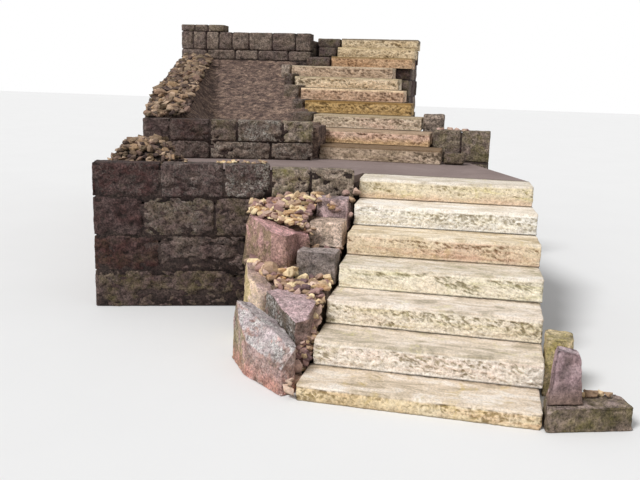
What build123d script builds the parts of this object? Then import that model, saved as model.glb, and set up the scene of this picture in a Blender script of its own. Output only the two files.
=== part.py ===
"""Outdoor stone steps: two flights of block steps, retaining walls, a rockery and a landing.

Millimetres, +Z up. +X runs to the right along the treads and +Y goes up the hill.
The origin is the middle of the underside of the bottom step, at ground level.
Stones rest face to face on what carries them, and stand a thin open joint apart sideways.
"""
from build123d import *
import math
import os

os.makedirs("parts", exist_ok=True)

# Lower flight: rock-faced block steps, each bearing on the back of the one below
lower_rise = 158.5
bottom_step_rise = 95.0
lower_tread = 344.0
lower_length = 1376.0
step_lap = 36.0
lower_side_shift = (-7.0, 13.0, 12.0, 26.0, 14.0, -2.0, -30.0)
lower_turn = (0.0, 0.6, 0.2, 2.5, 2.7, 3.5, 3.3)

# Upper flight: wider treads and lower risers, laid further and further to the left
upper_rise = 135.0
upper_tread = 369.0
upper_turn = 1.3
landing_depth = 985.0
upper_left_end = (-1360.0, -1512.0, -1605.0, -1798.0, -1943.0, -2117.0, -2257.0, -1822.0, -1818.0, -1840.0)
upper_right_end = (-158.0, -299.0, -427.0, -581.0, -714.0, -825.0, -951.0, -752.0, -760.0, -765.0)

# Rock face of a step: a drafted arris on top, the face bulging below it
arris_height = 16.0
face_bulge = 14.0
foot_set_back = 6.0

# Joints between stones, and the core of rubble and lean concrete behind them
side_joint = 8.0
flight_gap = 14.0
seat_gap = 0.3
core_inset = 26.0
core_clearance = 22.0
slab_thickness = 60.0
terrace_past_front = 300.0
landing_back_right = 268.0

# Lower retaining wall: four courses, its face turned away from the flight
wall_turn = 18.8
wall_reach = 1959.0
wall_at_flight = 1914.0
wall_end_gap = 28.0
wall_depth = 220.0
wall_course_heights = (298.0, 280.0, 306.0, 266.0)
wall_course_joints = ((1098.0,), (505.0, 1176.0), (382.0, 937.0, 1420.0), (518.0, 1008.0, 1375.0, 1689.0))
wall_low_end_from = 1375.0
wall_low_end_drop = 28.0
block_edge = 13.0

# Upper retaining wall: two courses standing on the terrace
upper_wall_reach = 1538.0
upper_wall_before_flight = 245.0
upper_wall_end_gap = 5.0
upper_wall_depth = 230.0
upper_wall_course_heights = (168.0, 204.0)
upper_wall_course_joints = ((266.0, 630.0, 1211.0), (250.0, 630.0, 887.0, 1324.0))

# Raised bed beside the upper flight, level behind the wall and then rising with the treads
bed_below_wall = 62.0
bed_level_past_front = 657.0
bed_rise_share = 0.885
bed_flank_spread = 1150.0

# Cheek stones along the bed's edge: width, and height above the tread beside them
cheek_width = (222.0, 136.0, 195.0, 121.0, 125.0, 324.0, 250.0, 330.0)
cheek_above = (20.0, 15.0, 35.0, 35.0, 13.0, -8.0, -4.0, 0.0)
cheek_first_tread = 2
cheek_embed = 40.0
cheek_joint = 12.0

# Wall across the head of the bed, with capping stones on its left end
head_behind_front = 245.0
head_wall_depth = 230.0
head_wall_heights = (134.0, 240.0)
head_wall_joints = ((385.0, 800.0, 1130.0, 1560.0), (180.0, 372.0, 560.0, 752.0, 1000.0, 1330.0, 1660.0))
head_cap_height = 96.0
head_cap_joints = (205.0, 398.0)
head_cap_length = 640.0
head_end_gap = 338.0
head_fill_below = 79.0

# Rockery: plan outlines measured left of and behind the bottom step's left front corner
foot_boulder = ((-89, 26), (-18, 105), (-40, 225), (-250, 500), (-480, 620), (-572, 530), (-395, 268))
middle_boulder = ((-8, 385), (4, 560), (-30, 700), (-110, 765), (-350, 800), (-412, 690), (-275, 505),
                  (-95, 335))
left_boulder = ((-600, 850), (-465, 745), (-425, 750), (-362, 832), (-395, 1010), (-470, 1140), (-600, 1160),
                (-682, 1040))
long_boulder = ((-315, 975), (-435, 945), (-770, 1320), (-835, 1590), (-700, 1610), (-420, 1420),
                (-230, 1330), (-190, 1222), (-290, 1212))
inner_stone_low = ((-283, 1040), (14, 1030), (16, 1200), (-280, 1205))
inner_stone_middle = ((-290, 1405), (-13, 1395), (-19, 1640), (-285, 1645))
inner_stone_high = ((-295, 1665), (-25, 1660), (-31, 1845), (-295, 1790))
middle_boulder_height = 430.0
middle_front_height = 445.0
foot_boulder_height = 332.0
foot_front_height = 366.0
left_boulder_height = 465.0
long_boulder_height = 230.0
inner_low_height = 228.0
inner_middle_height = 190.0
inner_high_height = 170.0
fill_reach = 790.0
fill_inset = 40.0
fill_low_level = 415.0
fill_long_level = 535.0
fill_step_level = 600.0
fill_high_level = 760.0
fill_wall_level = 885.0

# Heaps of broken stone: on the landing's left end, measured along the lower wall, and on the bed's edge
landing_heap = ((8, 234), (640, 234), (760, 420), (600, 760), (330, 1000), (160, 860))
landing_heap_height = 250.0
edge_heap_width = 560.0
edge_heap_rows = ((0.0, 84.0), (550.0, 284.0), (1250.0, 384.0))
edge_heap_at_head = 40.0

# Stones right of the flights: plan outlines from the bottom step's right front corner
low_block_outline = ((8, -25), (489, 145), (429, 330), (0.3, 185))
low_block_height = 140.0
standing_stone = ((9, 22), (215, 90), (205, 228), (10, 170))
standing_stone_height = 292.0
mossy_stone = ((19.5, 480), (215, 505), (226, 720), (19.5, 740))
mossy_stone_height = 356.0

# Squared blocks right of the upper flight
side_block_lengths = (285.0, 287.0)
side_block_height = 313.0
side_block_depth = 220.0
side_core_depth = 250.0
upper_side_length = 215.0
upper_side_height = 320.0
upper_side_past = 370.0
low_side_depth = 160.0
low_side_height = 122.0
low_side_set_back = 20.0

# Heights and rows that follow from the values above
lower_steps = len(lower_side_shift)
upper_steps = len(upper_left_end)
step_depth = lower_tread + step_lap
upper_depth = upper_tread + step_lap
front_y = -step_depth / 2
foot_left_x = lower_side_shift[0] - lower_length / 2
foot_right_x = lower_side_shift[0] + lower_length / 2
landing_z = bottom_step_rise + (lower_steps - 1) * lower_rise
landing_front_y = front_y + lower_steps * lower_tread
upper_front_y = landing_front_y + landing_depth
top_z = landing_z + upper_steps * upper_rise
turn = math.radians(wall_turn)
wall_left = foot_left_x - wall_reach
wall_front = front_y + wall_at_flight - wall_reach * math.tan(turn)
wall_length = (wall_reach - wall_end_gap) / math.cos(turn)
upper_wall_left = upper_left_end[0] - upper_wall_reach
upper_wall_front = upper_front_y - upper_wall_before_flight - upper_wall_reach * math.tan(turn)
upper_wall_length = (upper_wall_reach - upper_wall_end_gap) / math.cos(turn)
upper_wall_top = landing_z + sum(upper_wall_course_heights)
last_wide = upper_left_end.index(min(upper_left_end))


def save(shape, node):
    """Write one node as its own file."""
    export_step(shape, f"parts/{node}.step")


def box(x0, x1, y0, y1, z0, z1):
    """A plain block between two corners."""
    return Pos((x0 + x1) / 2, (y0 + y1) / 2, (z0 + z1) / 2) * Box(x1 - x0, y1 - y0, z1 - z0)


def prism(points, z0, z1):
    """An upright prism on a plan outline."""
    outline = make_face(Polyline(*points, close=True))
    return Pos(0, 0, z0) * extrude(outline, z1 - z0, dir=(0, 0, 1))


def step_block(length, depth, rise):
    """A block step: front face at y = 0, underside at z = 0, middle of its length at x = 0."""
    profile = Polyline(
        (foot_set_back, 0),
        (face_bulge * 0.1, rise * 0.25),
        (0, rise * 0.5),
        (face_bulge * 0.35, rise - arris_height * 1.8),
        (face_bulge, rise - arris_height),
        (face_bulge + arris_height * 0.3, rise),
        (depth, rise),
        (depth, 0),
        close=True,
    )
    face = Plane.YZ * make_face(profile)
    return Pos(-length / 2, 0, 0) * extrude(face, length, dir=(1, 0, 0))


def wall_block(length, depth, height):
    """A wall block with its left front bottom corner at the origin and chamfered face edges."""
    block = box(0, length, 0, depth, 0, height)
    return chamfer(block.faces().sort_by(Axis.Y)[0].edges(), block_edge)


def course(joints, length, depth, height, place, low_from=math.inf, drop=0.0):
    """One course of blocks laid at a place; the blocks past low_from are lower by drop."""
    ends = (0.0,) + tuple(joints) + (length,)
    blocks = []
    for index in range(len(ends) - 1):
        left = ends[index] + (side_joint / 2 if index else 0.0)
        right = ends[index + 1] - (side_joint / 2 if index < len(ends) - 2 else 0.0)
        low = drop if left > low_from else 0.0
        blocks.append(place * Pos(left, 0, 0) * wall_block(right - left, depth, height - low))
    return Compound(blocks)


def boulder(outline, base_z, crown, lean, *cuts):
    """A split boulder: its plan outline carried up to a smaller crown, the top cut by planes.

    crown is the crown's size against the foot and lean shifts it. Each cut is its height above
    the foot at the crown's middle, and its slopes along X and Y.
    """
    middle_x = sum(x for x, y in outline) / len(outline)
    middle_y = sum(y for x, y in outline) / len(outline)
    crown_outline = [
        (middle_x + lean[0] + crown * (x - middle_x), middle_y + lean[1] + crown * (y - middle_y))
        for x, y in outline
    ]
    rise = max(
        height + abs(fall_x * (x - middle_x)) + abs(fall_y * (y - middle_y))
        for height, fall_x, fall_y in cuts
        for x, y in outline
    )
    foot = Pos(0, 0, base_z) * make_face(Polyline(*outline, close=True))
    top = Pos(0, 0, base_z + rise) * make_face(Polyline(*crown_outline, close=True))
    stone = loft([foot, top], ruled=True)
    for height, fall_x, fall_y in cuts:
        if fall_x or fall_y or height < rise:
            origin = (middle_x + lean[0], middle_y + lean[1], base_z + height)
            cut = Plane(origin=origin, z_dir=(-fall_x, -fall_y, 1))
            stone = split(stone, bisect_by=cut, keep=Keep.BOTTOM)
    return stone


def placed(shape, x, y, z=0.0, turn_degrees=0.0):
    """Turn a shape about Z and set it down."""
    return Pos(x, y, z) * Rot(0, 0, turn_degrees) * shape


def left_of_flight(outline):
    """A plan outline moved from the bottom step's left front corner to its place."""
    return [(foot_left_x + x, front_y + y) for x, y in outline]


def right_of_flight(outline):
    """A plan outline moved from the bottom step's right front corner to its place."""
    return [(foot_right_x + x, front_y + y) for x, y in outline]


def along_wall(left, front, u, v):
    """The plan point u along a turned wall and v into the hill from its left front corner."""
    return (left + u * math.cos(turn) - v * math.sin(turn), front + u * math.sin(turn) + v * math.cos(turn))


def lower_plan(u, v):
    """A plan point measured from the lower wall's left front corner."""
    return along_wall(wall_left, wall_front, u, v)


def upper_plan(u, v):
    """A plan point measured from the upper wall's left front corner."""
    return along_wall(upper_wall_left, upper_wall_front, u, v)


def upper_front_at(index, x):
    """The front row of an upper step at a place along its length."""
    return upper_front_y + index * upper_tread + math.tan(math.radians(upper_turn)) * x


def upper_middle(index):
    """The middle of an upper step's length."""
    return (upper_left_end[index] + upper_right_end[index]) / 2


def cheek_seat(index):
    """The level that a cheek stone sits on: sunk into the bed, but not on the wide steps' backs."""
    return landing_z + index * upper_rise - (cheek_embed if index <= last_wide else 0.0)


# Lower flight
lower_blocks = []
for index in range(lower_steps):
    rise = lower_rise if index else bottom_step_rise
    bottom = bottom_step_rise + (index - 1) * lower_rise if index else 0.0
    block = step_block(lower_length, step_depth, rise)
    row_y = front_y + index * lower_tread
    lower_blocks.append(placed(block, lower_side_shift[index], row_y, bottom, lower_turn[index]))
    save(lower_blocks[-1], f"lower_step_{index + 1}")

# Upper flight
for index in range(upper_steps):
    middle = upper_middle(index)
    block = step_block(upper_right_end[index] - upper_left_end[index], upper_depth, upper_rise)
    bottom = landing_z + index * upper_rise
    save(placed(block, middle, upper_front_at(index, middle), bottom, upper_turn), f"upper_step_{index + 1}")

# Core under the lower flight: stepped masonry that each block beds on
core_half = lower_length / 2 - core_inset
lower_core = None
for index in range(1, lower_steps):
    turn_change = math.radians(abs(lower_turn[index] - lower_turn[index - 1]))
    start = step_lap + lower_length / 2 * math.tan(turn_change) + 2.0
    bottom = bottom_step_rise + (index - 1) * lower_rise
    bearing = box(-core_half, core_half, start, step_depth, 0, bottom)
    if index > 1:
        joining_top = bottom - lower_rise - 1.0
        bearing += box(-core_half, core_half, start - step_depth / 2, start + 1.0, 0, joining_top)
    row_y = front_y + index * lower_tread
    bearing = placed(bearing, lower_side_shift[index], row_y, 0, lower_turn[index])
    lower_core = bearing if lower_core is None else lower_core + bearing
save(lower_core, "lower_flight_core")

# Lower retaining wall
level = 0.0
for index, height in enumerate(wall_course_heights):
    place = Pos(wall_left, wall_front, level) * Rot(0, 0, wall_turn)
    low_from = wall_low_end_from if index == len(wall_course_heights) - 1 else math.inf
    joints = wall_course_joints[index]
    stones = course(joints, wall_length, wall_depth, height, place, low_from, wall_low_end_drop)
    save(stones, f"lower_wall_course_{index + 1}")
    level += height

# Terrace core behind the lower wall, and the landing's slab on it, both up to the top step's back
top_row = Pos(lower_side_shift[-1], front_y + (lower_steps - 1) * lower_tread, 0) * Rot(0, 0, lower_turn[-1])
flight_back_left = (top_row * Pos(-lower_length / 2 - side_joint, step_depth + seat_gap, 0)).position
flight_back_right = (top_row * Pos(core_half, step_depth + seat_gap, 0)).position
terrace_back_y = upper_front_y + terrace_past_front
terrace_outline = (
    lower_plan(0, wall_depth),
    lower_plan(wall_length, wall_depth),
    (flight_back_left.X, flight_back_left.Y),
    (flight_back_right.X, flight_back_right.Y),
    (upper_right_end[0] + landing_back_right, terrace_back_y),
    (upper_left_end[0] - flight_gap, terrace_back_y),
    upper_plan(upper_wall_length, upper_wall_depth),
    upper_plan(0, upper_wall_depth),
)
slab_underside = landing_z - slab_thickness
save(prism(terrace_outline, 0, slab_underside), "terrace_core")
save(prism(terrace_outline, slab_underside, landing_z), "landing_slab")

# Upper retaining wall on the terrace
level = landing_z
for index, height in enumerate(upper_wall_course_heights):
    place = Pos(upper_wall_left, upper_wall_front, level) * Rot(0, 0, wall_turn)
    joints = upper_wall_course_joints[index]
    save(course(joints, upper_wall_length, upper_wall_depth, height, place), f"upper_wall_course_{index + 1}")
    level += height

# Core under the upper flight, stepped in plan and in height
upper_core = None
for index in range(1, upper_steps):
    left, right = upper_left_end[index] + core_inset, upper_right_end[index] - core_inset
    row_y = upper_front_at(index, upper_middle(index))
    bearing_front = row_y + step_lap + core_clearance
    bottom = landing_z + index * upper_rise
    bearing = box(left, right, bearing_front, row_y + upper_depth, 0, bottom)
    if index > 1:
        joined_left = max(left, upper_left_end[index - 1] + core_inset)
        joined_right = min(right, upper_right_end[index - 1] - core_inset)
        joining_top = bottom - upper_rise - 1.0
        joined_front = bearing_front - upper_depth / 2
        bearing += box(joined_left, joined_right, joined_front, bearing_front + 1.0, 0, joining_top)
    upper_core = bearing if upper_core is None else upper_core + bearing
save(upper_core, "upper_flight_core")

# Cheek stones beside the treads, along the edge of the bed
cheeks = []
for order, (width, above) in enumerate(zip(cheek_width, cheek_above)):
    index = cheek_first_tread + order
    right = upper_left_end[index] - flight_gap
    height = landing_z + (index + 1) * upper_rise + above - cheek_seat(index)
    stone = wall_block(width, upper_tread - cheek_joint, height)
    cheeks.append(placed(stone, right - width, upper_front_at(index, right), cheek_seat(index)))

# Bed core between the upper wall, the flight and the head wall, its outline stepped along the flight
head_front_y = upper_front_at(last_wide + 1, 0.0) + head_behind_front
bed_level = upper_wall_top - bed_below_wall
bed_slope_y = upper_front_y + bed_level_past_front
head_base_z = bed_level + (head_front_y - bed_slope_y) * bed_rise_share * upper_rise / upper_tread
bed_flank_x = upper_wall_left - bed_flank_spread
bed_outline = [
    upper_plan(0, upper_wall_depth),
    upper_plan(upper_wall_length, upper_wall_depth),
    (upper_left_end[0] - flight_gap, terrace_back_y),
]
for index in range(1, last_wide + 1):
    past = upper_left_end[index] - flight_gap
    row_y = upper_front_at(index, past) - flight_gap
    bed_outline.append((upper_left_end[index - 1] - flight_gap, row_y))
    bed_outline.append((past, row_y))
behind_widest = upper_front_at(last_wide, 0.0) + upper_depth + flight_gap
bed_outline.append((upper_left_end[last_wide] - flight_gap, behind_widest))
bed_outline.append((upper_left_end[last_wide + 1] - flight_gap, behind_widest))
bed_outline.append((upper_left_end[last_wide + 1] - flight_gap, head_front_y))
bed_outline.append((bed_flank_x, head_front_y))
bed_profile = Polyline(
    (upper_wall_front, 0),
    (head_front_y, 0),
    (head_front_y, head_base_z),
    (bed_slope_y, bed_level),
    (upper_wall_front, bed_level),
    close=True,
)
bed_width = upper_right_end[0] - bed_flank_x
bed_start = Pos(bed_flank_x, 0, 0)
bed_body = bed_start * extrude(Plane.YZ * make_face(bed_profile), bed_width, dir=(1, 0, 0))
bed_core = bed_body & prism(bed_outline, 0, top_z)

# Head wall and the core that carries it and the topmost cheek stones
head_right_x = min(upper_left_end[last_wide + 1:]) - flight_gap
head_wall_right = upper_left_end[last_wide + 1] - flight_gap - head_end_gap
head_wall_back = head_front_y + head_wall_depth
flight_end_y = upper_front_at(upper_steps - 1, upper_middle(upper_steps - 1)) + upper_depth
head_wall_top = head_base_z + sum(head_wall_heights)
top_cheek_seat = cheek_seat(upper_steps - 1)
second_cheek_seat = cheek_seat(upper_steps - 2)
second_cheek_front = upper_front_at(upper_steps - 2, head_right_x)
top_cheek_front = upper_front_at(upper_steps - 1, head_right_x)
head_lap = min(head_base_z, second_cheek_seat) - 1.0
head_core = box(bed_flank_x, head_right_x, head_front_y, flight_end_y, 0, head_base_z)
for seat, seat_front in ((second_cheek_seat, second_cheek_front), (top_cheek_seat, top_cheek_front)):
    head_core += box(head_wall_right, head_right_x, seat_front, flight_end_y, head_lap, seat)
head_core += box(bed_flank_x, head_wall_right, head_wall_back, flight_end_y, head_base_z - 1.0,
                 head_wall_top - head_fill_below)
for cheek in cheeks:
    bed_core -= cheek
    head_core -= cheek
save(bed_core, "upper_bed_core")
save(head_core, "head_core")
bed_cheeks = last_wide + 1 - cheek_first_tread
save(Compound(cheeks[:bed_cheeks]), "bed_cheek_stones")
save(Compound(cheeks[bed_cheeks:]), "head_cheek_stones")
level = head_base_z
for index, height in enumerate(head_wall_heights):
    place = Pos(bed_flank_x, head_front_y, level)
    joints = head_wall_joints[index]
    stones = course(joints, head_wall_right - bed_flank_x, head_wall_depth, height, place)
    save(stones, f"head_wall_course_{index + 1}")
    level += height
place = Pos(bed_flank_x, head_front_y, level)
save(course(head_cap_joints, head_cap_length, head_wall_depth, head_cap_height, place), "head_wall_course_3")

# Heap of broken stone along the bed's left edge
flank_foot = upper_plan(0, upper_wall_depth)
flank_slope = (bed_flank_x - flank_foot[0]) / (head_front_y - flank_foot[1])
edge_width = edge_heap_width * math.hypot(1.0, flank_slope)
edge_outline = (
    flank_foot,
    (flank_foot[0] + edge_width, flank_foot[1] + edge_width * math.tan(turn)),
    (bed_flank_x + edge_width, head_front_y),
    (bed_flank_x, head_front_y),
)
edge_top = [(flank_foot[1] + past, bed_level + above) for past, above in edge_heap_rows]
edge_profile = Polyline(
    (upper_wall_front, 0),
    (head_front_y, 0),
    (head_front_y, head_base_z + edge_heap_at_head),
    *reversed(edge_top),
    (upper_wall_front, bed_level),
    close=True,
)
edge_body = bed_start * extrude(Plane.YZ * make_face(edge_profile), bed_width, dir=(1, 0, 0))
edge_heap = edge_body & prism(edge_outline, 0, top_z)
save(edge_heap - bed_core, "bed_edge_heap")

# Heap of broken stone on the landing's left end
heap_outline = [lower_plan(u, v) for u, v in landing_heap]
save(boulder(heap_outline, landing_z, 0.4, (-60, 20), (landing_heap_height, 0.0, 0.0)), "landing_heap")

# Rockery: boulders round a stepped fill that runs back to the wall's face
stones = {}
outline = left_of_flight(middle_boulder)
top_cut = (middle_boulder_height, -0.04, 0.0)
front_cut = (middle_front_height, 0.0, 0.4)
stones["middle_boulder"] = boulder(outline, 0, 0.9, (0, 10), top_cut, front_cut)
outline = left_of_flight(foot_boulder)
top_cut = (foot_boulder_height, -0.35, -0.1)
front_cut = (foot_front_height, 0.59, 1.02)
stones["foot_boulder"] = boulder(outline, 0, 0.93, (0, 10), top_cut, front_cut)
outline = left_of_flight(left_boulder)
stones["left_boulder"] = boulder(outline, 0, 0.86, (10, 10), (left_boulder_height, -0.4, 0.15))
outline = left_of_flight(long_boulder)
top_cut = (long_boulder_height, -0.245, -0.04)
stones["long_boulder"] = boulder(outline, fill_long_level, 0.86, (-15, 30), top_cut)
outline = left_of_flight(inner_stone_low)
stones["inner_stone_low"] = boulder(outline, fill_low_level, 0.97, (0, 0), (inner_low_height, 0, 0))
outline = left_of_flight(inner_stone_middle)
stones["inner_stone_middle"] = boulder(outline, fill_step_level, 0.93, (0, 0), (inner_middle_height, 0, 0))
outline = left_of_flight(inner_stone_high)
stones["inner_stone_high"] = boulder(outline, fill_high_level, 0.93, (0, 0), (inner_high_height, 0, 0))
stones["foot_boulder"] -= stones["middle_boulder"]


def to_wall(x):
    """The plan point on the lower wall's face, a seat's gap in front, left of the flight by x."""
    place_x = foot_left_x + x
    return (place_x, wall_front + (place_x - wall_left) * math.tan(turn) - seat_gap)


fill_outline = left_of_flight(((-5, 705), (-110, 720), (-345, 770), (-440, 900), (-590, 1110), (-780, 1400)))
fill = prism(fill_outline + [to_wall(-fill_reach), to_wall(-fill_inset)], 0, fill_low_level)
fill += prism(left_of_flight(long_boulder), fill_low_level - 1.0, fill_long_level)
step_outline = left_of_flight(((-5, 1205), (-290, 1208), (-290, 1435), (-17, 1435)))
fill += prism(step_outline, fill_low_level - 1.0, fill_step_level)
high_front = left_of_flight(((-40, 1430), (-305, 1430), (-585, 1465), (-780, 1500)))
high_outline = high_front + [to_wall(-fill_reach), to_wall(-fill_inset)]
high_fill = prism(high_outline, fill_low_level - 1.0, fill_wall_level)
high_rise = (fill_wall_level - fill_high_level) / (to_wall(-fill_inset)[1] - high_front[0][1])
high_cut = Plane(origin=(*high_front[0], fill_high_level), z_dir=(0, -high_rise, 1))
fill += split(high_fill, bisect_by=high_cut, keep=Keep.BOTTOM)
for name, stone in stones.items():
    fill -= stone
    save(stone, name)
save(fill, "rockery_fill")

# Stones at the right foot
save(prism(right_of_flight(low_block_outline), 0, low_block_height), "low_block")
top_cut = (standing_stone_height, -0.2, 0.0)
save(boulder(right_of_flight(standing_stone), low_block_height, 0.68, (-5, 10), top_cut), "standing_stone")
top_cut = (mossy_stone_height, 0.0, 0.0)
save(boulder(right_of_flight(mossy_stone), 0, 0.86, (-14, 0), top_cut), "mossy_stone")

# Squared blocks right of the upper flight on a core of their own
side_left = upper_right_end[1] + flight_gap
side_front = upper_front_y + upper_depth + flight_gap
side_right = side_left + sum(side_block_lengths) + side_joint
inner_left = upper_right_end[2] + flight_gap
inner_front = side_front + upper_side_past
inner_right = inner_left + upper_side_length
inner_back = inner_front + side_block_depth
side_core = box(side_left, side_right, terrace_back_y, side_front + side_core_depth, 0, landing_z)
side_core += box(side_left, inner_right, side_front, inner_back, 0, landing_z)
side_core += box(inner_left, inner_right, inner_front - flight_gap, inner_back, 0, landing_z + upper_rise)
save(side_core, "side_core")
place = Pos(side_left, side_front, landing_z)
side_joints = (side_block_lengths[0] + side_joint / 2,)
save(course(side_joints, side_right - side_left, side_block_depth, side_block_height, place), "side_blocks")
third = Pos(inner_left, inner_front, landing_z + upper_rise)
save(third * wall_block(upper_side_length, side_block_depth, upper_side_height), "upper_side_block")
low_side = Pos(upper_right_end[0] + flight_gap, upper_front_y + low_side_set_back, landing_z)
save(low_side * wall_block(upper_side_length, low_side_depth, low_side_height), "low_side_block")
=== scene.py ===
"""Outdoor stone steps: the looks of the two flights, the walls, the rockery and the landing.

Metres, +Z up, in the frame of the solids: +X runs along the treads and +Y goes up the hill.
"""
import math
from itertools import product

import bpy
import numpy as np
from mathutils import Matrix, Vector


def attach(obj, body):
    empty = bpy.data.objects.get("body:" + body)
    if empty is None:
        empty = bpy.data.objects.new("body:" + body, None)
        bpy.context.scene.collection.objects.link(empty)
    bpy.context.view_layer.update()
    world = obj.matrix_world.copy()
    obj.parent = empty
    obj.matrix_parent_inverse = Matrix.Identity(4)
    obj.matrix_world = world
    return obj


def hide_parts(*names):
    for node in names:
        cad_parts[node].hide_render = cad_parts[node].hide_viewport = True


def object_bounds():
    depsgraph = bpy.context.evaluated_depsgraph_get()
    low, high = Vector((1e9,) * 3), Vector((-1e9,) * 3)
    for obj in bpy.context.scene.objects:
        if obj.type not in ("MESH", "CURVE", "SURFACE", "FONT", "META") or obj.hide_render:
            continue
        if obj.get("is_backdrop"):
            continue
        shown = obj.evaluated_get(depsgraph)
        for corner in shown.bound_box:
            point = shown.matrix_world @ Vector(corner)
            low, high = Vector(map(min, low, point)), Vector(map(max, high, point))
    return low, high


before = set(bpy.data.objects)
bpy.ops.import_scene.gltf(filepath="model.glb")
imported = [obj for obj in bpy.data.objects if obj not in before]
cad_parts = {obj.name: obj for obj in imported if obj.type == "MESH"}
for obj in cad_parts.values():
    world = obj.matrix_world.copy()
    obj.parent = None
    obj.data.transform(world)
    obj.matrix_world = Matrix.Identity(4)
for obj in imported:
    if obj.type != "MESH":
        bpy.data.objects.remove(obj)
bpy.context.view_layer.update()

# Sizes and places that the solids have
front_y = -0.190
foot_left_x, foot_right_x = -0.695, 0.681
bottom_rise, lower_rise = 0.095, 0.1585
lower_tread, lower_depth, lower_length = 0.344, 0.380, 1.376
lower_shift = (-0.007, 0.013, 0.012, 0.026, 0.014, -0.002, -0.030)
lower_turn = (0.0, 0.6, 0.2, 2.5, 2.7, 3.5, 3.3)
landing_z = 1.046
slab_thickness = 0.060
upper_front_y = 3.203
upper_rise, upper_tread, upper_depth, upper_turn = 0.135, 0.369, 0.405, 1.3
upper_left_end = (-1.360, -1.512, -1.605, -1.798, -1.943, -2.117, -2.257, -1.822, -1.818, -1.840)
upper_right_end = (-0.158, -0.299, -0.427, -0.581, -0.714, -0.825, -0.951, -0.752, -0.760, -0.765)
wall_turn = math.radians(18.8)
wall_left, wall_front, wall_length, wall_depth = -2.654, 1.057, 2.0398, 0.220
wall_heights = (0.298, 0.280, 0.306, 0.266)
wall_joints = ((1.098,), (0.505, 1.176), (0.382, 0.937, 1.420), (0.518, 1.008, 1.375, 1.689))
upper_wall_left, upper_wall_front, upper_wall_length, upper_wall_depth = -2.898, 2.4344, 1.6194, 0.230
upper_wall_heights = (0.168, 0.204)
upper_wall_joints = ((0.266, 0.630, 1.211), (0.250, 0.630, 0.887, 1.324))
side_joint = 0.008
bed_level, bed_slope_y, bed_slope = 1.356, 3.860, 0.32378
bed_flank_x = -4.048
head_front_y, head_back_y, head_right_x, head_wall_right = 6.031, 6.261, -1.854, -2.174
head_base_z, head_fill_z = 2.0589, 2.3539
head_heights = (0.134, 0.240, 0.096)
head_joints = ((0.385, 0.800, 1.130, 1.560), (0.180, 0.372, 0.560, 0.752, 1.000, 1.330, 1.660),
               (0.205, 0.398))
head_lengths = (1.874, 1.874, 0.640)
edge_heap_width = 0.560
edge_heap_rows = ((0.0, 1.440), (0.550, 1.640), (1.250, 1.740), (3.379, 2.099))
flight_end_y = 6.899
cheek_width = (0.222, 0.136, 0.195, 0.121, 0.125, 0.324, 0.250, 0.330)
cheek_above = (0.020, 0.015, 0.035, 0.035, 0.013, -0.008, -0.004, 0.0)
slab_back_y = 3.503
flight_gap, core_inset, cheek_embed, cheek_joint = 0.014, 0.026, 0.040, 0.012
cheek_first_tread = 2
head_wall_depth = 0.230
side_block_height, side_block_depth, upper_side_past = 0.313, 0.220, 0.370


def upper_row_y(index, x):
    """Where an upper step's front stands at x, since those steps are turned a little."""
    return upper_front_y + index * upper_tread + math.tan(math.radians(upper_turn)) * x


# Noise, worked out on whole arrays
def xyz(x, y, z):
    """Points from their three coordinates, each of them an array or one number."""
    return np.stack(np.broadcast_arrays(x, y, z), -1)


def hashed(cell, seed):
    """A number from 0 to 1 for each lattice point: its whole numbers are multiplied, added and mixed."""
    mask = 0xFFFFFFFF
    mixed = cell[..., 0] * 374761393 + cell[..., 1] * 668265263 + cell[..., 2] * 1103515245
    mixed = (mixed + seed * 362437) & mask
    mixed = ((mixed ^ (mixed >> 13)) * 1274126177) & mask
    mixed = ((mixed ^ (mixed >> 15)) * 668265263) & mask
    return (mixed ^ (mixed >> 16)) / mask


def soft_noise(points, size, seed):
    """Smooth noise from -1 to 1: the hashes of a cell's eight corners, mixed by an eased share of the way."""
    scaled = points / np.asarray(size, float)
    cell = np.floor(scaled).astype(np.int64)
    share = scaled - cell
    share = share * share * share * (share * (share * 6 - 15) + 10)
    total = 0.0
    for corner in product((0, 1), repeat=3):
        near = np.where(corner, share, 1 - share)
        total = total + near[..., 0] * near[..., 1] * near[..., 2] * hashed(cell + np.array(corner), seed)
    return total * 2 - 1


def rough_noise(points, size, seed, octaves=4):
    """Layers of smooth noise, each half as wide and half as strong as the one before."""
    total, size = 0.0, np.asarray(size, float)
    for octave in range(octaves):
        total = total + soft_noise(points + 7.3 * octave, size / 2**octave, seed + octave) / 2**octave
    return total


def scoops(points, size, seed):
    """Shallow bowls that meet at sharp ridges: the squared distance to the nearest loose point."""
    scaled = points / np.asarray(size, float)
    cell = np.floor(scaled).astype(np.int64)
    nearest = np.full(scaled.shape[:-1], 9.0)
    for way in product((-1, 0, 1), repeat=3):
        other = cell + np.array(way)
        loose = xyz(*(hashed(other, seed + a) for a in (11, 23, 37)))
        nearest = np.minimum(nearest, ((other + loose - scaled) ** 2).sum(-1))
    return np.clip(nearest, 0, 1)


def eased(low, high, value):
    """0 below low, 1 above high and an S-shaped rise between them."""
    share = np.clip((value - low) / (high - low), 0, 1)
    return share * share * (3 - 2 * share)


# Closed shells
def shell(points, quads, triangles=None, **marks):
    """One closed surface: points (n, 3), its quads and triangles, and a number per point for each mark."""
    made = {"points": points, "quads": quads, "triangles": np.zeros((0, 3),
                                                                    int) if triangles is None else triangles}
    made["marks"] = {k: np.broadcast_to(np.asarray(v, float), (len(points),)) for k, v in marks.items()}
    return made


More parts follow.
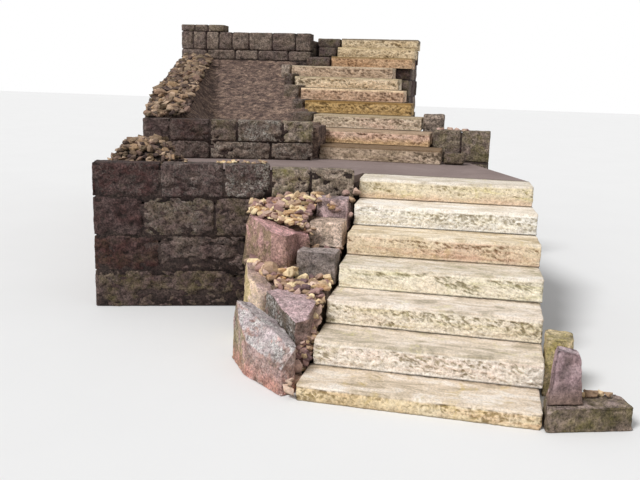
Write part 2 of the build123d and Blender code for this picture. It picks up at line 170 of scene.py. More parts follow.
def box_lattice(xs, ys, zs):
    """The surface of a box as a lattice: each of its six sides is a grid of two of the three axes' places."""
    axes = (np.asarray(xs), np.asarray(ys), np.asarray(zs))
    counts = [len(a) - 1 for a in axes]
    sides = []
    for a in range(3):
        b, c = (a + 1) % 3, (a + 2) % 3
        u, v = np.meshgrid(np.arange(counts[b]), np.arange(counts[c]), indexing="ij")
        for end in (0, counts[a]):
            quad = np.zeros((u.size, 4, 3), np.int64)
            quad[..., a] = end
            quad[..., b] = u.reshape(-1, 1) + np.array((0, 1, 1, 0))
            quad[..., c] = v.reshape(-1, 1) + np.array((0, 0, 1, 1))
            sides.append(quad if end else quad[:, ::-1])
    quads = np.concatenate(sides)
    keys = (quads[..., 0] * 4096 + quads[..., 1]) * 4096 + quads[..., 2]
    unique, inverse = np.unique(keys, return_inverse=True)
    k, j, i = unique % 4096, unique // 4096 % 4096, unique // 4096 // 4096
    return xyz(axes[0][i], axes[1][j], axes[2][k]), inverse.reshape(-1, 4)


def closed_tube(rings):
    """Rings of points (m, n, 3), counter-clockwise about the way they follow, joined in order.

    Each end is closed by a point in the middle of its ring.
    """
    m, n = rings.shape[:2]
    index = np.arange(m * n).reshape(m, n)
    across = np.roll(index, -1, axis=1)
    quads = np.stack([index[:-1], across[:-1], across[1:], index[1:]], -1).reshape(-1, 4)
    ends = np.stack([rings[0].mean(0), rings[-1].mean(0)])
    first = np.stack([across[0], index[0], np.full(n, m * n)], -1)
    last = np.stack([index[-1], across[-1], np.full(n, m * n + 1)], -1)
    return np.concatenate([rings.reshape(-1, 3), ends]), quads, np.concatenate([first, last])


def ring_normals(rings):
    """The outward direction at each point of closed rings: across the ring and between the rings."""
    around = np.roll(rings, -1, axis=1) - np.roll(rings, 1, axis=1)
    along = np.gradient(rings, axis=0)
    normal = np.cross(around, along)
    return normal / np.maximum(np.linalg.norm(normal, axis=-1, keepdims=True), 1e-9)


def turned(points, x, y, z, turn):
    """Points turned about Z by an angle and set down at a place."""
    c, s = math.cos(turn), math.sin(turn)
    u, v = points[..., 0], points[..., 1]
    return xyz(x + u * c - v * s, y + u * s + v * c, z + points[..., 2])


def places(length, spacing, edge):
    """Places along an axis: even between the rounded edges, and one more in each edge, or two if close."""
    inner = max(2, int(round((length - 2 * edge) / spacing)))
    middle = np.linspace(edge, length - edge, inner + 1)
    if spacing > 0.05:
        return np.concatenate([[0], middle, [length]])
    return np.concatenate([[0, edge * 0.4], middle, [length - edge * 0.4, length]])


def put(name, shells, material, nodes=(), flat=False):
    """Makes one Blender piece of closed shells, with their marks as point attributes, on the body root."""
    points, quads, triangles, marks, start = [], [], [], {}, 0
    names = sorted({k for s in shells for k in s["marks"]})
    for s in shells:
        points.append(s["points"])
        quads.append(s["quads"] + start)
        triangles.append(s["triangles"] + start)
        for k in names:
            marks.setdefault(k, []).append(s["marks"].get(k, np.zeros(len(s["points"]))))
        start += len(s["points"])
    points, quads, triangles = np.concatenate(points), np.concatenate(quads), np.concatenate(triangles)
    mesh = bpy.data.meshes.new(name)
    mesh.vertices.add(len(points))
    mesh.vertices.foreach_set("co", points.astype(np.float32).ravel())
    mesh.loops.add(4 * len(quads) + 3 * len(triangles))
    mesh.loops.foreach_set("vertex_index", np.concatenate([quads.ravel(),
                                                           triangles.ravel()]).astype(np.int32))
    mesh.polygons.add(len(quads) + len(triangles))
    starts = np.concatenate([np.arange(len(quads)) * 4, 4 * len(quads) + np.arange(len(triangles)) * 3])
    mesh.polygons.foreach_set("loop_start", starts.astype(np.int32))
    mesh.polygons.foreach_set("use_smooth", np.full(len(starts), not flat))
    mesh.update(calc_edges=True)
    for k in names:
        layer = mesh.attributes.new(k, "FLOAT", "POINT")
        layer.data.foreach_set("value", np.concatenate(marks[k]).astype(np.float32))
    mesh.materials.append(material)
    piece = bpy.data.objects.new(name, mesh)
    bpy.context.scene.collection.objects.link(piece)
    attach(piece, "root")
    if nodes:
        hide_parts(*nodes)
    return piece


# Stones
arris_back, profile_foot = 0.0188, 4


def with_ends(values, first=0.0, last=0.0):
    """A mark for the points of closed_tube: one number for each ring point, then those of its two ends."""
    return np.concatenate([np.ravel(values), (first, last)])


def step_stone(length, depth, rise, spacing, seed, big, chip, shear, calm, chip_size, band=0.55):
    """A rock-faced block step: a closed profile across the step, carried along its length.

    The front lies on the solid's front, which bulges below a drafted arris. It is moved inwards by
    wide bowls, by chips that gather in a band below the arris, and by fine noise, all as depths at
    (x + shear z, z). The tread is the solid's, let down by up to 1.5 mm of soft waves, and the arris
    is nibbled where noise along it passes a level.
    """
    down = np.linspace(0, 1, int(rise / spacing) + 1)[1:] * rise
    fall = (0, rise * 0.25, rise * 0.5, rise - 0.0288, rise - 0.016, rise - 0.006, rise)
    set_back = np.interp(rise - down, fall, (0.006, 0.0014, 0, 0.0049, 0.0115, 0.0155, arris_back))
    top_y = arris_back + (depth - arris_back) * np.array(
        (1.0, 0.8, 0.6, 0.42, 0.28, 0.18, 0.11, 0.07, 0.045, 0.027, 0.014, 0.006, 0.0))
    profile_y = np.concatenate([(depth * 0.3, depth * 0.7, depth, depth), top_y, set_back])
    profile_z = np.concatenate([(0, 0, 0, rise * 0.5), np.full(len(top_y), rise), rise - down])
    below = np.concatenate([np.full(profile_foot, -1.0), arris_back - top_y, down])
    order = np.arange(len(profile_y))
    is_front = order >= profile_foot + len(top_y)
    is_top = (order >= profile_foot) & ~is_front
    count = int(length / spacing)
    cap_x = np.array((0, 0, 0, 0, 0.003, 0.008))
    cap_size = (0.25, 0.5, 0.75, 0.93, 0.978, 0.994)
    body = np.linspace(-length / 2 + 0.014, length / 2 - 0.014, count)
    along = np.concatenate([-length / 2 + cap_x, body, (length / 2 - cap_x)[::-1]])
    size = np.concatenate([cap_size, np.ones(count), cap_size[::-1]])[:, None]
    x = along[:, None] + 0 * profile_y
    spot = xyz(x + shear * profile_z, seed * 1.7, profile_z)
    spot = spot + 0.010 * rough_noise(spot, 0.05, seed + 5, 3)[..., None]
    wide = 1 - scoops(spot, (0.17, 1, 0.11), seed)
    small = 1 - scoops(spot, (chip_size, 1, chip_size * 0.62), seed + 1)
    tiny = 1 - scoops(spot, (chip_size * 0.46, 1, chip_size * 0.32), seed + 2)
    share, run = np.clip(below / rise, 0, 1), xyz(x, 0, seed)
    reach = eased(0.10, 0.24, share + 0.05 * soft_noise(run, 0.09, seed + 9))
    gather = eased(-0.3, 0.45, rough_noise(spot, (0.22, 1, 0.08), seed + 3, 3) + 1.3 * (band - share))
    gather = (calm + (1 - calm) * gather) * reach
    ragged = rough_noise(spot, (0.022, 1, 0.014), seed + 4, 3)
    hollow = big * wide ** 1.5 + chip * small ** 1.3 * gather + 0.5 * chip * tiny * gather
    hollow = hollow + 0.3 * chip * gather * ragged + 0.0012 * rough_noise(spot, 0.02, seed + 6, 2)
    face = eased(0.002, 0.022, below) * (1 - 0.6 * eased(rise * 0.9, rise, below))
    depth_in = np.where(is_front, np.maximum(hollow, 0) * face - 0.25 * big * face, 0)
    edge = np.exp(-((below / 0.012) ** 2)) * (is_front | is_top)
    nibble = eased(0.1, 0.9, rough_noise(run, 0.07, seed + 6, 3))
    waves = 0.0015 * (1 + rough_noise(xyz(x, profile_y, 0), 0.25, seed + 7, 3))
    y = profile_y + depth_in + edge * nibble * 0.007
    z = profile_z - np.where(is_top, waves * eased(0, 0.02, -below), 0) - edge * (0.001 + nibble * 0.005)
    y = depth / 2 + (y - depth / 2) * size
    z = rise / 2 + (z - rise / 2) * size
    ends = (size < 1) * (0.004 + 0.003 * rough_noise(xyz(0, y, z), 0.05, seed + 8, 3))
    x = x - np.sign(x) * ends * (size < 0.999)
    # Painted shade marks: hollow is darkest in the deep chips of the band and a little in the wide bowls, and
    # foot is the front's lowest 12 mm, made a dark line where it meets the tread below
    crisp = np.clip(0.8 * small ** 3 + 0.4 * tiny ** 2 + 0.3 * ragged, 0, 1) * gather + 0.1 * wide ** 2
    marks = dict(hollow=np.clip(crisp, 0, 1) * face * is_front, rough=is_front * gather,
                 tread=np.maximum(is_top * 1.0, is_front * (1 - eased(0.012, 0.03, below))),
                 foot=is_front * eased(rise - 0.012, rise, below), back=is_top * (profile_y > depth - 0.001))
    marks = {name: with_ends(mark + 0 * x) for name, mark in marks.items()}
    return shell(*closed_tube(xyz(x, y, z)), **marks)


pillow, bowl_size, step_chips = 0.008, 0.11, ("big", "shear", "band", "calm", "chip_size")


def rough_block(length, depth, height, seed, spacing=0.014, edge=0.014, scoop=0.015, fine=0.006,
                all_round=0.3, squint=0.005, tone=0.5, moss=0.0, lichen=0.0, ledges=()):
    """A squared stone from (0, 0, 0) to (length, depth, height), its face at y = 0.

    Each lattice point p is q + edge n, with q the nearest point of the inner box and n the way to it.
    The face's depths depend on (x, z) alone: a pillow that grows towards the rim, bowls, ragged noise
    and ledges. They push a point back by their full size at the face and by nothing past 6 cm behind
    it. The other sides move in along n by a share of the bowls. A ledge (from, to, level, slope, depth)
    sets the face back below a line across part of its length.
    """
    p, quads = box_lattice(places(length, spacing, edge), places(depth, spacing * 2.2, edge),
                           places(height, spacing, edge))
    size = np.array((length, depth, height))
    q = np.clip(p, edge, size - edge)
    n = (p - q) / np.maximum(np.linalg.norm(p - q, axis=-1, keepdims=True), 1e-9)
    moved = q + n * edge
    start = seed * np.array((3.1, 1.3, 0.7))
    spot = moved * np.array((1.0, 0.0, 1.0)) + start
    spot = spot + 0.015 * rough_noise(spot, 0.07, seed + 3, 3)[:, None]
    rim = np.clip((np.abs(2 * moved[:, (0, 2)] / size[[0, 2]] - 1) ** 5).sum(-1), 0, 1.3)
    bowls = 1 - scoops(spot, (bowl_size, bowl_size, bowl_size * 0.6), seed)
    small = 1 - scoops(spot, bowl_size * np.array((0.36, 0.36, 0.24)), seed + 1)
    ragged = rough_noise(spot, (0.06, 0.06, 0.03), seed + 2, 4)
    face = scoop * bowls ** 1.4 + 0.5 * scoop * small ** 1.3
    face = face + fine * (1 + ragged) + pillow * rim - 0.3 * scoop
    for begin, end, at, slope, back in ledges:
        line = height * at + (p[:, 0] - length * (begin + end) / 2) * slope
        line = line + 0.02 * rough_noise(spot, 0.08, seed + 9, 3)
        span = eased(length * begin - 0.03, length * begin + 0.03, p[:, 0])
        span = span * (1 - eased(length * end - 0.03, length * end + 0.03, p[:, 0]))
        down = line - p[:, 2]
        face = face + back * eased(-0.006, 0.006, down) * span * np.exp(-np.maximum(0, down) / 0.10)
    side_spot = moved + start
    side_bowls = 1 - scoops(side_spot, bowl_size, seed + 5)
    other = all_round * (scoop * side_bowls ** 1.4 + fine * (1 + rough_noise(side_spot, 0.05, seed + 6, 3)))
    front = np.clip(1 - moved[:, 1] / 0.06, 0, 1)
    moved = moved - n * (other * (1 - np.clip(-n[:, 1], 0, 1)))[:, None]
    moved[:, 1] += np.maximum(face, 0) * front
    lean = squint * rough_noise(np.array([[seed * 1.9, i * 2.3, 0.5] for i in range(4)]), 1.0, seed, 1)
    share = p / size
    moved[:, 0] += (share[:, 0] - 0.5) * 2 * np.minimum(0, lean[0] * (share[:, 2] - 0.5) * 2)
    moved[:, 2] += share[:, 2] * np.minimum(0, lean[1] * (share[:, 0] - 0.5) * 2)
    # Painted shade: the hollow mark is darker in the bowls, the small bowls, where the ragged noise sets the
    # face back and towards the rim
    dark = 0.3 * bowls ** 2 + 0.6 * small ** 2.5 + 0.25 * ragged + 0.3 * np.clip(rim - 0.6, 0, 1)
    return shell(moved, quads, hollow=np.clip(dark, 0, 1), tone=tone, moss=moss, lichen=lichen,
                 up=np.clip(n[:, 2], 0, 1))


def moved_shell(s, x, y, z, turn):
    """The shell turned about Z and set down."""
    return {**s, "points": turned(s["points"], x, y, z, turn)}


def rounded_outline(corners, count, soften):
    """A plan outline walked round at even steps, its corners softened by a running mean."""
    corners = np.asarray(corners, float)
    area = (corners[:, 0] * np.roll(corners[:, 1], -1) - np.roll(corners[:, 0], -1) * corners[:, 1]).sum()
    if area < 0:
        corners = corners[::-1]
    closed = np.concatenate([corners, corners[:1]])
    walked = np.concatenate([[0], np.cumsum(np.linalg.norm(np.diff(closed, axis=0), axis=1))])
    at = np.linspace(0, walked[-1], count, endpoint=False)
    ring = np.stack([np.interp(at, walked, closed[:, i]) for i in (0, 1)], -1)
    reach = max(1, int(count * soften))
    return sum(np.roll(ring, shift, axis=0) for shift in range(-reach, reach + 1)) / (2 * reach + 1)


def boulder(corners, base_z, crown, lean, cuts, seed, count=90, rings=46, soften=0.018, bowls=0.007, splits=2,
            fine=0.0036, round_off=0.035, tone=0.5, moss=0.0, lichen=0.0, left_way=(-1.0, 0.0, 0.0),
            lichen_on=None):
    """A split boulder: its plan outline carried up to a smaller crown, the top cut by sloping planes.

    Ring v stands at the share climb(v) of the lowest plane's height and is drawn in over the top. At
    the height h its size is 1 + (crown - 1) h / rise, as the solid's. Flat splits cut off what stands
    past a few random planes, and bowls and noise follow along the surface's own direction.
    """
    outline = rounded_outline(corners, count, soften)
    middle = corners.mean(0)
    reach = np.abs(corners - middle).max(0)
    rise = max(h + abs(a) * reach[0] + abs(b) * reach[1] for h, a, b in cuts)
    v = np.linspace(0, 1, rings)
    stops = (0, 0.05, 0.5, 0.54, 0.58, 0.72, 0.86, 1)
    drawn = np.interp(v, stops, (0.4, 1, 1, 1 - 0.25 * round_off, 1 - 1.2 * round_off, 0.72, 0.38, 0.03))
    climb = np.interp(v, stops, (0, 0, 1 - round_off, 1 - 0.3 * round_off, 1, 1, 1, 1))
    away = outline - middle
    height = climb[:, None] * cuts[0][0] + 0 * away[:, 0]
    for _ in range(8):
        share = height / rise
        size = (1 + (crown - 1) * share) * drawn[:, None]
        x, y = away[:, 0] * size + lean[0] * share, away[:, 1] * size + lean[1] * share
        top = np.minimum.reduce([h + a * (x - lean[0]) + b * (y - lean[1]) for h, a, b in cuts])
        height = climb[:, None] * top
    points = xyz(middle[0] + x, middle[1] + y, base_z + height)
    centre = np.array((middle[0], middle[1], base_z + cuts[0][0] * 0.45))
    chance = np.random.default_rng(seed)
    for _ in range(splits):
        angle, upwards = chance.uniform(0, 2 * math.pi), chance.uniform(0.1, 0.9)
        way = np.array((math.cos(angle), math.sin(angle), upwards))
        way = way / np.linalg.norm(way)
        past = (points - centre) @ way
        limit = past.max() * chance.uniform(0.90, 0.96)
        points = points - way * np.maximum(0, past - limit)[..., None] * 0.9
    normal = ring_normals(points)
    spot = points + seed * 0.37
    spot = spot + 0.03 * rough_noise(spot, 0.12, seed + 2, 2)[..., None]
    wide_bowls, small_bowls = 1 - scoops(spot, 0.16, seed), 1 - scoops(spot, 0.055, seed + 1)
    lowered = bowls * wide_bowls ** 1.5 + 0.5 * bowls * small_bowls
    lowered = lowered + fine * (1 + rough_noise(spot, 0.05, seed + 4, 4)) - 0.3 * bowls
    points = points - normal * (lowered * eased(0.02, 0.1, v)[:, None])[..., None]
    points[..., 2] = np.maximum(points[..., 2], base_z)
    # Painted shade: the hollow mark is darker where the bowls and noise lower the surface most
    dark = np.clip(lowered / (bowls + fine * 2), 0, 1)
    way = ring_normals(points) + 0.25 * rough_noise(points, 0.06, seed + 6, 3)[..., None]
    sides = {name: with_ends(eased(least, least + 0.22, way @ np.array(to)), 0, name == "up")
             for name, to, least in (("up", (0, 0, 1.0), 0.42), ("left", left_way, 0.6))}
    if lichen_on:
        lichen = lichen * (0.2 + 0.8 * sides[lichen_on])
    low = with_ends(1 - eased(0.0, 0.16, points[..., 2] - base_z), 1)
    return shell(*closed_tube(points), hollow=with_ends(dark), tone=tone, moss=moss, lichen=lichen, low=low,
                 **sides)


def pebbles(spots, sizes, seed, flatten=0.6, tilt=0.55, tones=(0.0, 1.0)):
    """Broken stones, one at each spot: a small lattice box with its corners drawn in, every point shifted a
    little, tapered along its length, cut flat by three random planes, stretched and turned.

    Point = spot + R (stretch * (way - w max(0, way . w - r))), for each plane's direction w and reach r.
    """
    ways, quads = box_lattice((-1.0, 0.0, 1.0), (-1.0, 0.0, 1.0), (-1.0, 0.0, 1.0))
    ways = ways / (np.abs(ways) ** 5).sum(-1, keepdims=True) ** 0.2
    chance = np.random.default_rng(seed)
    count = len(spots)
    stretch = np.asarray(sizes)[:, None] * xyz(chance.uniform(0.85, 1.45, count),
                                               chance.uniform(0.6, 1.0, count),
                                               flatten * chance.uniform(0.5, 1.2, count)) * 0.5
    local = ways[None] + chance.uniform(-0.17, 0.17, (count, len(ways), 3))
    local[..., 1:] *= 1 + local[..., :1] * chance.uniform(-0.35, 0.35, (count, 1, 2))
    for _ in range(3):
        plane = chance.normal(size=(count, 3))
        plane = plane / np.linalg.norm(plane, axis=-1, keepdims=True)
        past = np.einsum("npk,nk->np", local, plane) - chance.uniform(0.35, 0.75, (count, 1))
        local = local - plane[:, None] * np.maximum(0, past)[..., None]
    local = local * stretch[:, None]
    spin, rock, roll = (chance.uniform(-1, 1, count) * s for s in (math.pi, tilt, tilt))
    for a, b, angle in ((2, 0, rock), (1, 2, roll), (0, 1, spin)):
        c, s = np.cos(angle)[:, None], np.sin(angle)[:, None]
        first, second = local[..., a], local[..., b]
        local[..., a], local[..., b] = first * c - second * s, first * s + second * c
    points = local + np.asarray(spots)[:, None]
    each = len(ways)
    quads = (quads[None] + np.arange(count)[:, None, None] * each).reshape(-1, 4)
    tone = np.repeat(chance.uniform(*tones, count), each)
    return shell(points.reshape(-1, 3), quads, tone=tone)


def strewn(corners, spacing, seed):
    """Spots over a plan outline: a loose grid of that spacing, of which those inside the outline are kept."""
    corners = np.asarray(corners, float)
    low, high = corners.min(0), corners.max(0)
    chance = np.random.default_rng(seed)
    grid = np.stack(np.meshgrid(np.arange(low[0], high[0], spacing), np.arange(low[1], high[1], spacing)), -1)
    spots = grid.reshape(-1, 2) + chance.uniform(-0.45, 0.45, (grid[..., 0].size, 2)) * spacing
    following = np.roll(corners, -1, axis=0)
    x, y = spots[:, :1], spots[:, 1:]
    crosses = (corners[:, 1] > y) != (following[:, 1] > y)
    span = following[:, 1] - corners[:, 1]
    span = np.where(span == 0, 1e-9, span)
    at = corners[:, 0] + (y - corners[:, 1]) * (following[:, 0] - corners[:, 0]) / span
    return spots[((crosses & (x < at)).sum(1) % 2) == 1]


def heap(corners, floor_z, surface, seed):
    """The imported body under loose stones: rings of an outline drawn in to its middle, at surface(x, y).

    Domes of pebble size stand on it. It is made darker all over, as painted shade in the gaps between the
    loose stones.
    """
    count, rings, lump = 72, 14, 0.012
    outline = rounded_outline(corners, count, 0.02)
    middle = outline.mean(0)
    size = np.concatenate([(0.5, 1.0), np.linspace(1.0, 0.03, rings)])
    plan = middle + (outline - middle) * size[:, None, None]
    z = surface(plan[..., 0], plan[..., 1]) - lump
    z = z + lump * (1 - scoops(np.concatenate([plan, 0 * plan[..., :1]], -1), 0.05, seed))
    z[:2] = floor_z
    return shell(*closed_tube(np.concatenate([plan, z[..., None]], -1)), tone=0.4, hollow=0.8)


def facing(start, end, low, levels, top, seed, even_start=0.0, odd_end=0.0, depth=0.15, ceiling=None):
    """Coursed facing stones between two plan points, seen from the right of the way from start to end.

    The face of each stone lies on the solid's face. Even and odd courses keep away from a corner in
    turn by a stone's depth, so that the ends of the other face's stones show there.
    """
    start, end = np.asarray(start, float), np.asarray(end, float)
    length = float(np.linalg.norm(end - start))
    turn = math.atan2(*(end - start)[::-1])
    chance = np.random.default_rng(seed)
    made = []
    edges = [low] + [z for z in levels if low + 0.09 < z < top - 0.07] + [top]
    for course in range(len(edges) - 1):
        odd = sum(z <= edges[course] + 1e-6 for z in levels) % 2
        left, right = (0.0, length - odd_end) if odd else (even_start, length)
        if right - left < 0.06:
            continue
        stones = max(1, int(round((right - left) / 0.42)))
        widths = chance.uniform(0.7, 1.3, stones)
        cuts = left + (right - left) * np.concatenate([[0], np.cumsum(widths) / widths.sum()])
        for index in range(stones):
            height = edges[course + 1] - edges[course] - 0.003
            gap = 0.004 if index < stones - 1 else 0.0
            stone = rough_block(cuts[index + 1] - cuts[index] - gap, depth, height,
                                int(chance.integers(9999)), spacing=0.055, scoop=0.007, squint=0.003,
                                tone=chance.uniform(0.1, 0.9), moss=chance.uniform(0, 0.5))
            offset = np.array((cuts[index], 0, 0))
            placed = turned(stone["points"] + offset, start[0], start[1], edges[course], turn)
            if ceiling is not None:
                limit = ceiling(placed[:, 0], placed[:, 1])
                if (limit - edges[course]).max() < 0.05:
                    continue
                placed[:, 2] = np.minimum(placed[:, 2], limit)
            made.append({**stone, "points": placed})
    return made


def body_prism(corners, faced, low, high, inset=0.02):
    """The mortar body behind facing stones: a plan outline, its faced sides drawn in, from low to high."""
    corners = np.asarray(corners, float)
    following = np.roll(corners, -1, axis=0)
    way = following - corners
    way = way / np.linalg.norm(way, axis=1, keepdims=True)
    outward = np.stack([way[:, 1], -way[:, 0]], -1)
    offset = (outward * corners).sum(1) - np.where(faced, inset, 0.0)
    before, offset_before = np.roll(outward, 1, axis=0), np.roll(offset, 1)
    cross = before[:, 0] * outward[:, 1] - before[:, 1] * outward[:, 0]
    x = (offset_before * outward[:, 1] - offset * before[:, 1]) / cross
    y = (offset * before[:, 0] - offset_before * outward[:, 0]) / cross
    return shell(*closed_tube(np.stack([xyz(x, y, z) for z in (low, high)])), tone=0.3, hollow=0.9)


# Finishes
def colour(shown):
    """A colour in hex, as it shows on a screen, made linear for the shader."""
    share = np.array([int(shown[i:i + 2], 16) for i in (0, 2, 4)]) / 255
    linear = np.where(share <= 0.04045, share / 12.92, ((share + 0.055) / 1.055) ** 2.4)
    return (*linear.tolist(), 1.0)


def colours(row):
    return [colour(shown) for shown in row.split()]


def add(tree, kind, inputs=(), **settings):
    """Adds one shader node, with its inputs given as values or as the sockets that feed them."""
    made = tree.nodes.new(kind)
    for name, value in settings.items():
        setattr(made, name, value)
    for name, value in dict(inputs).items():
        if isinstance(value, bpy.types.NodeSocket):
            tree.links.new(value, made.inputs[name])
        else:
            made.inputs[name].default_value = value
    return made


def maths(tree, operation, first, second=0.0, clamp=False):
    return add(tree, "ShaderNodeMath", {0: first, 1: second}, operation=operation, use_clamp=clamp).outputs[0]


def mixed(tree, share, first, second, blend="MIX"):
    return add(tree, "ShaderNodeMix", {0: share, 6: first, 7: second}, data_type="RGBA",
               blend_type=blend).outputs[2]


def stretched(tree, value, low, high, to_low=0.0, to_high=1.0):
    inputs = {"Value": value, "From Min": low, "From Max": high, "To Min": to_low, "To Max": to_high}
    return add(tree, "ShaderNodeMapRange", inputs, clamp=True).outputs[0]


def noise(tree, where, scale, detail=4.0, rough=0.6, distort=0.0):
    inputs = {"Vector": where, "Scale": scale, "Detail": detail, "Roughness": rough, "Distortion": distort}
    return add(tree, "ShaderNodeTexNoise", inputs).outputs["Fac"]


def ramp(tree, share, tints):
    """A colour ramp with its stops at even places."""
    made = add(tree, "ShaderNodeValToRGB", {"Fac": share})
    stops = made.color_ramp.elements
    while len(stops) < len(tints):
        stops.new(0.5)
    for index, tint in enumerate(tints):
        stops[index].position = index / (len(tints) - 1)
        stops[index].color = tint
    return made.outputs["Color"]


def stone_finish(name, palette, shift=0.0, spread=1.1, broad=3.0, layers=None, layer_scale=(1.5, 1.5, 16),
                 band=None, tread=None, stain=None, shade=0.45, moss=None, lichen=None, bump=1.0, grain=0.12,
                 by_tone=False, pit_shade=None, contrast=0.2, chips=0.22, tints=(), soft=0.19):
    """Sandstone: a ramp of its own colours by tone and broad noise, bedding layers, a band near the foot,
    mottling, chips and grain, painted shade in the hollows with a little painted light on the ridges,
    dark specks of painted shade in the deepest chips, a paler worn tread, tints for its sides, a dark line
    of painted shade along the foot of a step's front, moss and lichen where their marks say so.
    """
    material = bpy.data.materials.new(name)
    material.use_nodes = True
    tree = material.node_tree
    tree.nodes.clear()
    place = add(tree, "ShaderNodeTexCoord").outputs["Object"]

    def mapped(source, **how):
        return add(tree, "ShaderNodeMapping", {"Vector": source, **how}).outputs[0]

    where = mapped(place, Location=(shift, shift * 0.7, shift * 0.3))

    def mark(key):
        return add(tree, "ShaderNodeAttribute", attribute_name=key).outputs["Fac"]

    def times(first, second, clamp=False):
        return maths(tree, "MULTIPLY", first, second, clamp)

    def plus(first, second, clamp=False):
        return maths(tree, "ADD", first, second, clamp)

    def fade(value, low, high, most=1.0):
        return stretched(tree, value, low, high, 0, most)

    def cloud(*look):
        return noise(tree, where, *look)

    def over(under, amount, tint):
        return mixed(tree, amount, under, colour(tint))

    def shaded(under, share, *values):
        greys = [v if isinstance(v, tuple) else (v, v, v, 1) for v in values]
        return mixed(tree, 1.0, under, ramp(tree, share, greys), "MULTIPLY")

    share = times(plus(cloud(broad, 5, 0.62, 0.6), -0.5), spread * 2)
    share = plus(share, mark("tone") if by_tone else 0.5, clamp=True)
    made = ramp(tree, share, colours(palette))
    if layers:
        beds = noise(tree, mapped(where, Scale=layer_scale), 1.3, 5, 0.6, 0.8)
        made = over(made, fade(beds, 0.48, 0.66, layers[1]), layers[0])
    if band:
        height = add(tree, "ShaderNodeSeparateXYZ", {0: place}).outputs["Z"]
        height = plus(height, times(plus(cloud(4, 4), -0.5), 0.12))
        made = over(made, stretched(tree, height, band[0], band[1], band[3], 0), band[2])
    for side, tint, strength in tints:
        made = over(made, times(mark(side), strength), tint)
    mottle, chip, fine = cloud(24, 6, 0.68), cloud(75, 5, 0.7, 0.4), cloud(230, 3, 0.7)
    made = shaded(made, fade(mottle, 0.5 - soft, 0.5 + soft), 1 - contrast, 1.0, 1 + contrast * 0.6)
    # Painted shade: darker and a little less blue where the hollow mark is high, and a little painted light
    # on the ridges where it is low
    hollow, dark = mark("hollow"), 1 - shade
    made = shaded(made, hollow, *((v, v * (1 - 0.03 * shade), v * (1 - 0.12 * shade * (v < 1)), 1)
                                  for v in (1.0 + shade * 0.2, 1.0, dark)))
    # Painted shade: a dark tint in the deepest chips of the rough band, where the hollow mark is high and the
    # chip noise low
    if pit_shade:
        depth = plus(times(hollow, 0.75), times(chip, -1.3))
        made = over(made, times(fade(depth, -0.32, 0.08, pit_shade[1]), mark("rough")), pit_shade[0])
    if tread:
        streaks = noise(tree, mapped(where, Scale=(0.6, 1.6, 1.0)), 6, 7, 0.68, 0.8)
        worn = ramp(tree, fade(streaks, 0.36, 0.64), colours(tread))
        worn = shaded(worn, fade(mottle, 0.34, 0.66), 0.89, 1.0, 1.05)
        bits = times(plus(cloud(26, 5, 0.7), -0.5), 1.6)
        worn = over(worn, fade(plus(mark("back"), bits), 0.42, 0.75, 0.7), "705c46")
        made = mixed(tree, mark("tread"), made, worn)
    if stain:
        made = over(made, fade(cloud(7, 6, 0.7, 1.0), 0.56, 0.72, stain[1]), stain[0])
    if moss:
        made = over(made, times(fade(cloud(7, 8, 0.75), 0.44, 0.66), mark("moss"), clamp=True), moss)
    if lichen:
        patch = times(fade(cloud(9, 4, 0.6), 0.40, 0.60), fade(cloud(62, 7, 0.8), 0.46, 0.56))
        made = over(made, times(patch, mark("lichen"), clamp=True), lichen)
    made = shaded(made, fade(chip, 0.51 - soft, 0.51 + soft), 1 - chips, 1.0, 1 + chips * 0.6)
    made = shaded(made, fade(fine, 0.3, 0.7), 1 - grain, 1.0, 1 + grain * 0.7)
    # Painted shade: a dark line along the foot of a step's front, where it meets the tread below
    made = over(made, times(mark("foot"), 0.75), "3e3428")
    height = plus(plus(times(mottle, 1.6), chip), times(fine, 0.22))
    calm = maths(tree, "SUBTRACT", 1.0, times(mark("tread"), 0.8), clamp=True)
    relief = {"Height": times(height, calm), "Strength": bump, "Distance": 0.010}
    shader = add(tree, "ShaderNodeBsdfPrincipled", {
        "Base Color": made, "Normal": add(tree, "ShaderNodeBump", relief).outputs[0],
        "Roughness": stretched(tree, mottle, 0.3, 0.7, 0.83, 0.96), "Specular IOR Level": 0.25})
    tree.links.new(shader.outputs[0], add(tree, "ShaderNodeOutputMaterial").inputs["Surface"])
    return material


# Flights: cream stones below and ochre ones above
# Each step's own tint: its stone and its tread in hex colours, then the tint and share of its bedding,
# of the painted shade in its deepest chips and of its stain, and the heights, tint and share of a band near
# its foot
lower_looks = (
    ("dec496 f0dcb4 faeed0", "b4a48c e4d2bc f4eade", ("e8ba92", 0.5), ("a88a58", 0.6), ("ceb260", 0.55)),
    ("f8ecd6 fff8ea ffeedc", "b2a690 e2d2be f4e8dc", ("f8dac4", 0.45), ("bea676", 0.38), ("dcd48c", 0.5)),
    ("f2e4cc fff6e2 fcecd6", "b6aa96 e4d4c2 f4eade", ("dcce96", 0.5), ("a49064", 0.46), ("d0c680", 0.5)),
    ("f0e4c4 fcf4dc faeed6", "b4aa8e dcceba f2eade", ("ded8a2", 0.45), ("b0a278", 0.45), ("ceca8e", 0.4)),
    ("e0caa2 eedcbc ecceb4", "b8a484 e0ceb2 f4e6d0", ("e0b096", 0.5), ("9c7250", 0.7), ("d2b468", 0.5)),
    ("fef4dc fffcf0 fff8ee", "d6c8b4 f2e6d6 faf4ec", ("f0e6ba", 0.4), ("c6ae84", 0.32), ("ded49c", 0.35)),
    ("e8d8b4 f2e6c8 f0e2c6", "c2b6a0 e2d6c6 f2eade", ("dcd08a", 0.5), ("b29a64", 0.48), ("d0c474", 0.55),
     (0.9, 0.945, "f0ceb2", 0.55)),
)
